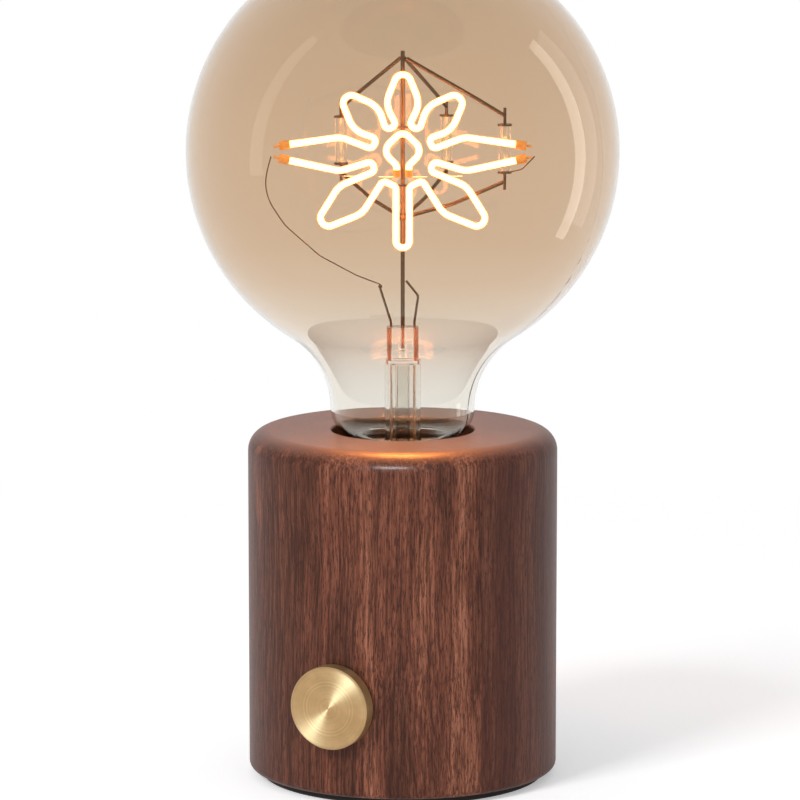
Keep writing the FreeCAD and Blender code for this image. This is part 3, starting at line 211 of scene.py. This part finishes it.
def walnut():
    """Bands, streaks, pores, end grain with painted sheen, and painted shade at the left and in the
    bore.
    """
    material, tree, shader = start_material("satin oiled walnut", Coat_Weight=0.16,
                                            Coat_Roughness=0.19, Specular_IOR_Level=0.10)
    where = add(tree, "ShaderNodeTexCoord").outputs["Object"]
    # The glued boards lie turned against the knob's shaft, so "across" is a fixed direction in the wood.
    board_way = (math.cos(BOARD_TURN), math.sin(BOARD_TURN), 0)
    across = add(tree, "ShaderNodeVectorMath", {0: where, 1: board_way}, operation="DOT_PRODUCT")
    second = add(tree, "ShaderNodeMath", {0: across.outputs["Value"], 1: GLUE_LINE},
                 operation="GREATER_THAN").outputs["Value"]
    # The fibres wander: a slow noise pushes every finer pattern sideways, half of it either way.
    slow = add(tree, "ShaderNodeTexNoise", {"Vector": where, "Detail": 1.0,
                                            "Scale": 1 / (WANDER_MM * MM)})
    centred = add(tree, "ShaderNodeVectorMath", {0: slow.outputs["Color"], 1: (0.5, 0.5, 0.5)},
                  operation="SUBTRACT")
    push = add(tree, "ShaderNodeVectorMath", {0: centred.outputs["Vector"],
                                              1: (FIBRE_WANDER, FIBRE_WANDER, 0)},
               operation="MULTIPLY")
    wander = add(tree, "ShaderNodeVectorMath", {0: where, 1: push.outputs["Vector"]}, operation="ADD")
    jump = add(tree, "ShaderNodeVectorMath", {0: SECOND_BOARD_START, "Scale": second},
               operation="SCALE")
    fibres = add(tree, "ShaderNodeVectorMath", {0: wander.outputs["Vector"], 1: jump.outputs["Vector"]},
                 operation="ADD").outputs["Vector"]

    def pattern(size_mm, detail, roughness=0.5):
        wide, tall = size_mm
        scale = (1 / (wide * MM), 1 / (wide * MM), 1 / (tall * MM))
        grains = add(tree, "ShaderNodeMapping", {"Vector": fibres, "Scale": scale,
                                                 "Rotation": (0, GRAIN_LEAN, 0)})
        noise = add(tree, "ShaderNodeTexNoise", {"Vector": grains.outputs["Vector"], "Scale": 1.0,
                                                 "Detail": detail, "Roughness": roughness})
        return noise.outputs["Fac"]

    # Painted shade: the board is painted a little darker toward its left side.
    edge = add(tree, "ShaderNodeMapRange", {"Value": across.outputs["Value"],
                                            "From Min": LEFT_SIDE_SHADE_SPAN[0], "From Max": LEFT_SIDE_SHADE_SPAN[1],
                                            "To Min": -0.16, "To Max": 0.01})
    bands = add(tree, "ShaderNodeMath", {0: pattern(BAND_MM, 2.0), 1: edge.outputs["Result"]},
                operation="ADD").outputs["Value"]
    streaks = pattern(STREAK_MM, 4.0, 0.62)
    pores = pattern(PORE_MM, 3.0, 0.6)
    ground = add(tree, "ShaderNodeValToRGB", {"Fac": bands}, GROUND_BROWNS).outputs["Color"]
    silk = add(tree, "ShaderNodeValToRGB", {"Fac": streaks}, SILK_GREYS).outputs["Color"]
    silky = add(tree, "ShaderNodeMix", {0: 0.9, 6: ground, 7: silk}, data_type="RGBA",
                blend_type="MULTIPLY").outputs[2]
    open_pore = add(tree, "ShaderNodeMapRange", {"Value": pores, "From Min": 0.535, "From Max": 0.575})
    dark = add(tree, "ShaderNodeMath", {0: open_pore.outputs["Result"], 1: PORE_DARKNESS},
               operation="MULTIPLY")
    pored = add(tree, "ShaderNodeMix", {0: dark.outputs["Value"], 6: silky, 7: linear(PORE_BROWN)},
                data_type="RGBA").outputs[2]
    shade = add(tree, "ShaderNodeMath", {0: second, 1: SECOND_BOARD_SHADE}, operation="MULTIPLY")
    boards = add(tree, "ShaderNodeMix", {0: shade.outputs["Value"], 6: pored,
                                         7: linear(SECOND_BOARD_BROWN)},
                 data_type="RGBA").outputs[2]
    # End grain, on the top and the rounded edge, drinks more oil: it is plainer and evenly brown.
    # Its greyish brown is partly painted sheen: the pale gloss of the top is put into its colour.
    facing = add(tree, "ShaderNodeNewGeometry").outputs["Normal"]
    upward = add(tree, "ShaderNodeSeparateXYZ", {"Vector": facing}).outputs["Z"]
    end_grain_sheen = add(tree, "ShaderNodeMapRange", {"Value": upward, "From Min": 0.55, "From Max": 0.95,
                                                 "To Max": 0.82})
    wood = add(tree, "ShaderNodeMix", {0: end_grain_sheen.outputs["Result"], 6: boards,
                                       7: linear(END_GRAIN_SHEEN_BROWN)},
               data_type="RGBA").outputs[2]
    # Painted shade: the inside of the bore for the bulb is painted dark brown.
    flat = add(tree, "ShaderNodeVectorMath", {0: where, 1: (1, 1, 0)}, operation="MULTIPLY")
    radius = add(tree, "ShaderNodeVectorMath", {0: flat.outputs["Vector"]}, operation="LENGTH")
    inside = add(tree, "ShaderNodeMapRange", {"Value": radius.outputs["Value"],
                                              "From Min": BORE_RADII[1], "From Max": BORE_RADII[0],
                                              "To Max": 0.85})
    bore_shaded = add(tree, "ShaderNodeMix", {0: inside.outputs["Result"], 6: wood, 7: linear(BORE_SHADE_BROWN)},
                data_type="RGBA").outputs[2]
    tree.links.new(bore_shaded, shader.inputs["Base Color"])
    rough = add(tree, "ShaderNodeMapRange", {"Value": streaks, "To Min": 0.36, "To Max": 0.58})
    tree.links.new(rough.outputs["Result"], shader.inputs["Roughness"])
    groove = add(tree, "ShaderNodeMath", {0: 1.0, 1: open_pore.outputs["Result"]}, operation="SUBTRACT")
    bump = add(tree, "ShaderNodeBump", {"Height": groove.outputs["Value"], "Distance": PORE_DEPTH,
                                        "Strength": 0.6})
    tree.links.new(bump.outputs["Normal"], shader.inputs["Normal"])
    return material


finishes["walnut"] = walnut()
print("walnut pores, mm:", PORE_MM)

# %% [markdown]
# ## Spun brass
# The knob's face was turned on a lathe, and the tool left rings too fine to see. They stretch every
# highlight across themselves, which draws the bow tie of light on the face. Real rings would be lost
# between the pixels, so the shader is told to stretch the highlight (anisotropy) along a tangent that
# runs round the knob's axis. Faint rings, drawn coarser than real at half a millimetre, vary the
# roughness.

# %% Brass
RING_MM = 0.5
TARNISH_MM = 4.0


def spun_brass():
    """Polished metal whose highlights stretch across rings round the knob's axis."""
    material, tree, shader = start_material("spun brass", Metallic=1.0, Anisotropic=0.86,
                                            Anisotropic_Rotation=0.25)
    where = add(tree, "ShaderNodeTexCoord").outputs["Object"]
    from_axis = add(tree, "ShaderNodeVectorMath", {0: where, 1: tuple(knob_middle)},
                    operation="SUBTRACT")
    flat = add(tree, "ShaderNodeVectorMath", {0: from_axis.outputs["Vector"], 1: (1, 0, 1)},
               operation="MULTIPLY")
    radius = add(tree, "ShaderNodeVectorMath", {0: flat.outputs["Vector"]}, operation="LENGTH")
    rings = add(tree, "ShaderNodeMath", {0: radius.outputs["Value"], 1: 1 / (RING_MM * MM)},
                operation="MULTIPLY")
    ring_noise = add(tree, "ShaderNodeTexNoise", {"W": rings.outputs["Value"], "Scale": 1.0,
                                                  "Detail": 3.0}, noise_dimensions="1D")
    rough = add(tree, "ShaderNodeMapRange", {"Value": ring_noise.outputs["Fac"], "To Min": 0.27,
                                             "To Max": 0.39})
    tarnish = add(tree, "ShaderNodeTexNoise", {"Vector": where, "Detail": 3.0,
                                               "Scale": 1 / (TARNISH_MM * MM)})
    mixed = add(tree, "ShaderNodeMix", {0: 0.5, 2: ring_noise.outputs["Fac"],
                                        3: tarnish.outputs["Fac"]})
    colour = add(tree, "ShaderNodeValToRGB", {"Fac": mixed.outputs[0]},
                 [(0.35, "#A98A60"), (0.65, "#BE9D71")])
    tree.links.new(colour.outputs["Color"], shader.inputs["Base Color"])
    tree.links.new(rough.outputs["Result"], shader.inputs["Roughness"])
    tangent = add(tree, "ShaderNodeTangent", direction_type="RADIAL", axis="Y")
    tree.links.new(tangent.outputs["Tangent"], shader.inputs["Tangent"])
    return material


finishes["spun_brass"] = spun_brass()
print("rings run round the knob's middle, mm:", [round(v / MM, 1) for v in knob_middle])

# %% [markdown]
# ## Glass
# The envelope is blown soda-lime glass, 0.8 mm thick, with an amber coat that fades away toward the
# neck. The frame's envelope has both its walls, so a true glass surface (IOR 1.5) bends light only at
# its edges, as the real one does. The tint is a colour by height: light crosses two walls, so each wall
# carries the square root of what the eye sees. Fine waves from blowing keep reflections from being
# perfect. The amber coat is a thin oxide film, so what it mirrors is a little amber as well. The glass
# casts no shadow: its amber is weak, and the lamps then reach the inside cleanly.

# %% Glass
TINT = [(0.0, "#F5F4F0"), (0.14, "#F1ECE4"), (0.34, "#E5D4C1"), (0.6, "#E3D1BD"), (1.0, "#D7C5B0")]


def blown_glass(name, tint, mirror, wave_mm=14.0, wave_height_mm=0.02):
    """Clear glass with a tint by height and a mirror colour, and with the slow waves of blown glass."""
    material, tree, shader = start_material(name, Transmission_Weight=1.0, IOR=1.5, Roughness=0.0)
    shader.inputs["Specular Tint"].default_value = linear(mirror)
    where = add(tree, "ShaderNodeTexCoord").outputs["Object"]
    height = add(tree, "ShaderNodeSeparateXYZ", {"Vector": where}).outputs["Z"]
    share = add(tree, "ShaderNodeMapRange", {"Value": height, "From Min": wood_high.z,
                                             "From Max": globe_high.z})
    colour = add(tree, "ShaderNodeValToRGB", {"Fac": share.outputs["Result"]}, tint)
    tree.links.new(colour.outputs["Color"], shader.inputs["Base Color"])
    waves = add(tree, "ShaderNodeTexNoise", {"Vector": where, "Scale": 1 / (wave_mm * MM)})
    bump = add(tree, "ShaderNodeBump", {"Height": waves.outputs["Fac"],
                                        "Distance": wave_height_mm * MM, "Strength": 0.3})
    tree.links.new(bump.outputs["Normal"], shader.inputs["Normal"])
    return material


finishes["amber_glass"] = blown_glass("amber coated soda-lime glass", TINT, "#D8C6AC")
finishes["clear_glass"] = blown_glass("clear soda-lime glass", [(0.0, "#FBFAF7"), (1.0, "#FDFCFA")],
                                     "#FFFFFF", 6.0)
for name in ("glass_envelope", "stem_glass", "exhaust_tube", "glass_insulators"):
    nodes[name].visible_shadow = False
print("tint runs from the wood's top to the globe's top, mm:",
      round(wood_high.z / MM, 1), round(globe_high.z / MM, 1))

# %% [markdown]
# ## Glowing strands
# A soft LED strand is a row of tiny chips on a thin strip, drawn through a tube of silicone full of
# yellow phosphor. The middle is too bright to see as anything but white, and the silicone around it
# glows orange. So each strand is two bodies: the frame's tube becomes the silicone, half see-through,
# and a thinner copy of it, shrunk along its normals, becomes the white-hot core. The warm colour of the
# core also paints the wood and the wires around it. The chips' real pitch of about 1 mm is kept.

# %% Strand materials
CHIP_MM = 1.1
CLOUD_MM = 2.2


def phosphor_core():
    """The white-hot row of chips, a little uneven along the strand."""
    material, tree, shader = start_material("phosphor over LED chips", Emission_Strength=19.0,
                                            Roughness=0.6)
    where = stretched(tree, CHIP_MM, CHIP_MM)
    chips = add(tree, "ShaderNodeTexNoise", {"Vector": where.outputs["Vector"], "Scale": 1.0})
    glow = add(tree, "ShaderNodeValToRGB", {"Fac": chips.outputs["Fac"]},
               [(0.3, "#FFAE66"), (0.7, "#FFC27E")])
    tree.links.new(glow.outputs["Color"], shader.inputs["Emission Color"])
    shader.inputs["Base Color"].default_value = linear("#FFE6B0")
    return material


def glowing_silicone():
    """Half see-through silicone that glows from within."""
    material, tree, shader = start_material("yellow silicone sleeve", Emission_Strength=1.2,
                                            Roughness=0.35, Alpha=0.40, IOR=1.41)
    where = stretched(tree, CLOUD_MM, CLOUD_MM)
    cloud = add(tree, "ShaderNodeTexNoise", {"Vector": where.outputs["Vector"], "Scale": 1.0})
    glow = add(tree, "ShaderNodeValToRGB", {"Fac": cloud.outputs["Fac"]},
               [(0.3, "#FF9C34"), (0.7, "#FFB54C")])
    tree.links.new(glow.outputs["Color"], shader.inputs["Emission Color"])
    shader.inputs["Base Color"].default_value = linear("#B0641C")
    return material


finishes["led_strand"] = glowing_silicone()
core_finish = phosphor_core()

# %% Cores inside the strands
CORE_DEPTH = 0.24 * MM
WELD_DISTANCE = 0.002 * MM


def strand_core(strand_name):
    """A thinner copy of a strand, every point pulled in along its normal."""
    mesh = bpy.data.meshes.new(strand_name + "_core")
    surface = bmesh.new()
    surface.from_mesh(nodes[strand_name].data)
    bmesh.ops.remove_doubles(surface, verts=surface.verts, dist=WELD_DISTANCE)
    surface.normal_update()
    for point in surface.verts:
        point.co -= point.normal * CORE_DEPTH
    for face in surface.faces:
        face.smooth = True
        face.material_index = 0
    surface.to_mesh(mesh)
    surface.free()
    mesh.materials.clear()
    mesh.materials.append(core_finish)
    core = bpy.data.objects.new(strand_name + "_core", mesh)
    bpy.context.scene.collection.objects.link(core)
    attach(core, "bulb")
    return core


for name in ("flower_strand", "sprig_strand", "heart_strand"):
    core = strand_core(name)
    nodes[name].visible_shadow = False
    print(core.name, "points:", len(core.data.vertices))

# %% [markdown]
# ## Metals and plastics of the smaller parts
# Everything else is a common workshop material. Its look comes from how it was made: drawn wire is
# smooth along its length, plated steel is faintly mottled, moulded plastic has an orange-peel skin, and
# rubber is dull. One function gives all of them grain of a real size in millimetres.

# %% Small parts
finishes["foot_rubber"] = speckled("black EPDM foam pad", "#15120F", "#2A2521", 0.8, 0.06, (0.75, 0.9))
finishes["steel_plate"] = speckled("zinc plated steel sheet", "#8E9092", "#B4B6B8", 1.6, 0.004,
                                   (0.28, 0.45), Metallic=1.0)
finishes["zinc_steel"] = speckled("zinc plated steel", "#97999B", "#C0C2C4", 0.7, 0.004, (0.22, 0.4),
                                  Metallic=1.0)
finishes["black_steel"] = speckled("black oxide steel", "#1C1C1E", "#2E2E31", 0.4, 0.004, (0.3, 0.45),
                                   Metallic=1.0)
finishes["phenolic"] = speckled("black phenolic moulding", "#16110F", "#2B211C", 0.9, 0.01, (0.3, 0.45))
finishes["holder_ceramic"] = speckled("glazed steatite", "#D8D2C4", "#ECE7DC", 1.2, 0.01, (0.15, 0.3))
finishes["contact_brass"] = speckled("stamped brass", "#B5924E", "#D4B36C", 0.5, 0.004, (0.25, 0.4),
                                     Metallic=1.0)
finishes["circuit_board"] = speckled("green solder mask on epoxy glass", "#1E4A2C", "#2C6A40", 0.35,
                                     0.01, (0.3, 0.45))
finishes["nylon"] = speckled("natural nylon", "#DCD6C6", "#EFEADD", 0.6, 0.01, (0.4, 0.55))
finishes["outlet_nylon"] = speckled("black moulded nylon", "#1A1918", "#2C2A28", 0.45, 0.015, (0.4, 0.6))
finishes["ferrite"] = speckled("enamelled copper on ferrite", "#6A3A1C", "#A8622E", 0.5, 0.05,
                               (0.25, 0.4))
finishes["film_yellow"] = speckled("yellow film capacitor case", "#D6A42C", "#EBC04A", 0.6, 0.01,
                                   (0.35, 0.5))
finishes["fuse_glass"] = speckled("fuse glass with silver ends", "#B9BDBE", "#DDE0E0", 1.0, 0.002,
                                  (0.08, 0.2))
finishes["wire_sleeve"] = speckled("silicone wire sleeve", "#7A2A22", "#9A3A30", 0.6, 0.01, (0.45, 0.6))
finishes["tinned_wire"] = speckled("tinned copper", "#B5B3AE", "#D6D4CF", 0.3, 0.003, (0.2, 0.35),
                                   Metallic=1.0)
finishes["cap_glass"] = speckled("black vitrite", "#0F0F12", "#232327", 0.8, 0.01, (0.12, 0.25))
finishes["nickel_cap"] = speckled("nickel plated brass", "#A9A296", "#CFC8BA", 0.6, 0.004, (0.2, 0.35),
                                  Metallic=1.0)
finishes["cement"] = speckled("basing cement", "#B9B1A2", "#D6CFC1", 0.5, 0.08, (0.8, 0.95))
# Painted glow: the end sleeve has a faint orange emission, though it is no lamp.
finishes["ferrule_metal"] = speckled("orange silicone end sleeve with painted glow", "#EE9A3A", "#FFBE62", 0.8, 0.01,
                                     (0.35, 0.5), Emission_Color=linear("#FF9A30"),
                                     Emission_Strength=0.22)

# %% [markdown]
# A lead wire is welded from three metals: nickel above, copper-clad wire in the pinch, which swells with
# heat as glass does, and tinned copper below. The rod and the arms are nickel too, so one finish that
# changes with height serves them all.

# %% Frame wire
PINCH_TALL = 10.5 * MM
WIRE_GRAIN_MM = 0.35


def frame_wire():
    """Nickel above, pink copper in the pinch and tinned copper below, all finely mottled."""
    material, tree, shader = start_material("nickel and copper-clad lead wire", Metallic=1.0)
    where = add(tree, "ShaderNodeTexCoord").outputs["Object"]
    height = add(tree, "ShaderNodeSeparateXYZ", {"Vector": where}).outputs["Z"]
    pinch_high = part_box("stem_glass")[1][2]
    share = add(tree, "ShaderNodeMapRange", {"Value": height, "From Min": pinch_high - 2 * PINCH_TALL,
                                             "From Max": pinch_high + PINCH_TALL})
    # The ramp runs over three heights of the pinch, so the pinch is its middle third.
    metals = add(tree, "ShaderNodeValToRGB", {"Fac": share.outputs["Result"]},
                 [(0.32, "#D9CFC2"), (0.36, "#D98E6C"), (0.64, "#D98E6C"), (0.69, "#7A6350")])
    grains = stretched(tree, WIRE_GRAIN_MM, WIRE_GRAIN_MM)
    grain = add(tree, "ShaderNodeTexNoise", {"Vector": grains.outputs["Vector"], "Scale": 1.0})
    mottle = add(tree, "ShaderNodeValToRGB", {"Fac": grain.outputs["Fac"]},
                 [(0.3, "#B8ACA0"), (0.7, "#FFFFFF")])
    colour = add(tree, "ShaderNodeMix", {0: 0.8, 6: metals.outputs["Color"],
                                         7: mottle.outputs["Color"]},
                 data_type="RGBA", blend_type="MULTIPLY").outputs[2]
    rough = add(tree, "ShaderNodeMapRange", {"Value": grain.outputs["Fac"], "To Min": 0.28,
                                             "To Max": 0.45})
    tree.links.new(colour, shader.inputs["Base Color"])
    tree.links.new(rough.outputs["Result"], shader.inputs["Roughness"])
    return material


finishes["frame_wire"] = frame_wire()

# %% [markdown]
# ## Dress the frame
# A part of the frame keeps its shape and takes the new finish in its own material slots, matched by the
# slot's name. A part whose slot has no finish would show as flat colour, so the loop counts them.

# %% Assign finishes
bare = []
for name, part in nodes.items():
    for slot in part.material_slots:
        if slot.material.name in finishes:
            slot.material = finishes[slot.material.name]
        else:
            bare.append(slot.material.name)
print("slots left bare:", bare)

# %% [markdown]
# ## Floor and light
# The lamp was cut out on pure white. A white floor under soft light gives that and keeps a shadow: near
# the lamp the floor is an ordinary matt surface, and further out it turns into plain white, so that no
# horizon shows. Metal and glass see the same white, and none of it adds light to the lamp.

# %% What is seen and what gives light


def seen_share(tree):
    """One where a thing is seen by eye, in a mirror or through glass, and none where it gives light."""
    ray = add(tree, "ShaderNodeLightPath")
    either = add(tree, "ShaderNodeMath", {0: ray.outputs["Is Camera Ray"],
                                          1: ray.outputs["Is Glossy Ray"]}, operation="MAXIMUM")
    return add(tree, "ShaderNodeMath", {0: either.outputs["Value"],
                                        1: ray.outputs["Is Transmission Ray"]},
               operation="MAXIMUM").outputs["Value"]


# %% Floor
FLOOR_HALF = 12.0
MATT_RADIUS = (0.16, 0.50)
FLOOR_LIFT = 0.36


def floor_material():
    """Matt white near the lamp, with a faint veil that keeps its shadow pale, and plain white beyond."""
    material, tree, shader = start_material("white paper floor", Roughness=0.9)
    shader.inputs["Base Color"].default_value = linear("#FAFAFA")
    shader.inputs["Specular IOR Level"].default_value = 0.0
    where = add(tree, "ShaderNodeTexCoord").outputs["Object"]
    away = add(tree, "ShaderNodeVectorMath", {0: where}, operation="LENGTH")
    far = add(tree, "ShaderNodeMapRange", {"Value": away.outputs["Value"],
                                           "From Min": MATT_RADIUS[0], "From Max": MATT_RADIUS[1]})
    seen = seen_share(tree)
    share = add(tree, "ShaderNodeMath", {0: far.outputs["Result"], 1: seen}, operation="MULTIPLY")
    white = add(tree, "ShaderNodeEmission", {"Color": (1, 1, 1, 1), "Strength": 1.0})
    lift = add(tree, "ShaderNodeMath", {0: seen, 1: FLOOR_LIFT}, operation="MULTIPLY")
    veil = add(tree, "ShaderNodeEmission", {"Color": (1, 1, 1, 1), "Strength": lift.outputs["Value"]})
    lifted = add(tree, "ShaderNodeAddShader", {0: shader.outputs["BSDF"], 1: veil.outputs["Emission"]})
    mix = add(tree, "ShaderNodeMixShader", {0: share.outputs["Value"], 1: lifted.outputs["Shader"],
                                            2: white.outputs["Emission"]})
    tree.links.new(mix.outputs["Shader"], tree.nodes["Material Output"].inputs["Surface"])
    return material


floor_mesh = bpy.data.meshes.new("floor")
corners = [(-FLOOR_HALF, -FLOOR_HALF, 0), (FLOOR_HALF, -FLOOR_HALF, 0),
           (FLOOR_HALF, FLOOR_HALF, 0), (-FLOOR_HALF, FLOOR_HALF, 0)]
floor_mesh.from_pydata(corners, [], [(0, 1, 2, 3)])
floor_mesh.materials.append(floor_material())
floor = bpy.data.objects.new("floor", floor_mesh)
bpy.context.scene.collection.objects.link(floor)
print("floor turns to plain white between, m:", MATT_RADIUS)

# %% World
SOFT_SKY = 0.55
world = bpy.data.worlds.new("white room")
world.use_nodes = True
bpy.context.scene.world = world
sky = world.node_tree
sky.nodes.clear()
soft = add(sky, "ShaderNodeBackground", {"Color": linear("#F4F6FA"), "Strength": SOFT_SKY})
white = add(sky, "ShaderNodeBackground", {"Color": (1, 1, 1, 1), "Strength": 1.0})
mix = add(sky, "ShaderNodeMixShader", {0: seen_share(sky), 1: soft.outputs["Background"],
                                       2: white.outputs["Background"]})
add(sky, "ShaderNodeOutputWorld", {"Surface": mix.outputs["Shader"]})
bpy.context.scene.view_settings.view_transform = "Standard"
print("strength of the soft sky:", SOFT_SKY)

# %% [markdown]
# One soft window at the left lights all that is matt. It is left out of every mirror, because the globe
# would show it as a square. Glints are drawn by lamps of their own, each kept to the parts that it is
# for, as a studio does with flags: one for the bow tie on the knob, one for the small pale glint on the
# wood's edge, two that stand for the bulb's own glow in the wood's oil and in the stem, and tall narrow
# ones that draw the long curves on the globe.

# %% Lamps


def area_lamp(name, place, aim, size, power, on_matt=True, on_gloss=True, only=(),
              colour="#FFFFFF"):
    """A rectangular soft lamp at place, facing aim. It may leave out matt or glossy light, and may
    light only some parts, as a studio's flags and grids would arrange it."""
    data = bpy.data.lights.new(name, "AREA")
    data.shape = "RECTANGLE"
    data.size, data.size_y = size
    data.energy = power
    data.color = linear(colour)[:3]
    lamp = bpy.data.objects.new(name, data)
    bpy.context.scene.collection.objects.link(lamp)
    lamp.location = place
    lamp.rotation_euler = (aim - place).to_track_quat("-Z", "Y").to_euler()
    lamp.visible_camera = False
    lamp.visible_transmission = False
    lamp.visible_diffuse = on_matt
    lamp.visible_glossy = on_gloss
    if only:
        lit = bpy.data.collections.new(name + " receivers")
        for part in only:
            lit.objects.link(nodes[part])
        lamp.light_linking.receiver_collection = lit
    return lamp


wood_middle = Vector((0, 0, (wood_low.z + wood_high.z) / 2))
window = -0.85 * to_right + 1.0 * to_camera + Vector((0, 0, 0.95))
area_lamp("window", window, wood_middle, (0.45, 0.45), 12.0, on_gloss=False)

# %% Glints on brass and wood
# The knob's glint comes from nearly straight ahead, because only light from near the axis of the rings
# opens the bow tie. It is a little blue, as daylight is beside the bulb.
DAYLIGHT = "#C4E4FF"
BULB_ORANGE = "#FF8E40"
STEM_ORANGE = "#FF9A50"
knob_light = knob_middle + 1.2 * Vector((-0.12, -0.97, 0.18))
area_lamp("knob glint", knob_light, knob_middle, (0.26, 0.26), 11.0, on_matt=False, only=["knob_cap"],
          colour=DAYLIGHT)
overhead = -0.16 * to_right + 1.05 * to_camera + Vector((0, 0, 0.80))
area_lamp("wood glint", overhead, wood_middle, (0.45, 0.22), 17.0, on_matt=False, only=["walnut_body"])
area_lamp("bulb glint", globe_middle, wood_middle, (0.035, 0.035), 2.2, on_matt=False,
          only=["walnut_body"], colour=BULB_ORANGE)
area_lamp("stem glint", globe_middle, wood_middle, (0.05, 0.05), 0.7, on_matt=False,
          only=["stem_glass", "exhaust_tube", "cap_cement"], colour=STEM_ORANGE)

# %% Long curves on the globe
# name, metres to the right, metres toward the camera, height, size, power
STRIPS = [("right strip", 0.32, -0.05, 0.20, (0.05, 0.50), 0.21),
          ("right edge", 0.40, -0.12, 0.20, (0.16, 0.60), 0.22),
          ("left strip", -0.40, 0.09, 0.42, (0.06, 0.60), 0.16)]
for name, right, near, height, size, power in STRIPS:
    place = right * to_right + near * to_camera + Vector((0, 0, height))
    area_lamp(name, place, Vector((0, 0, height)), size, power, on_matt=False, only=["glass_envelope"])
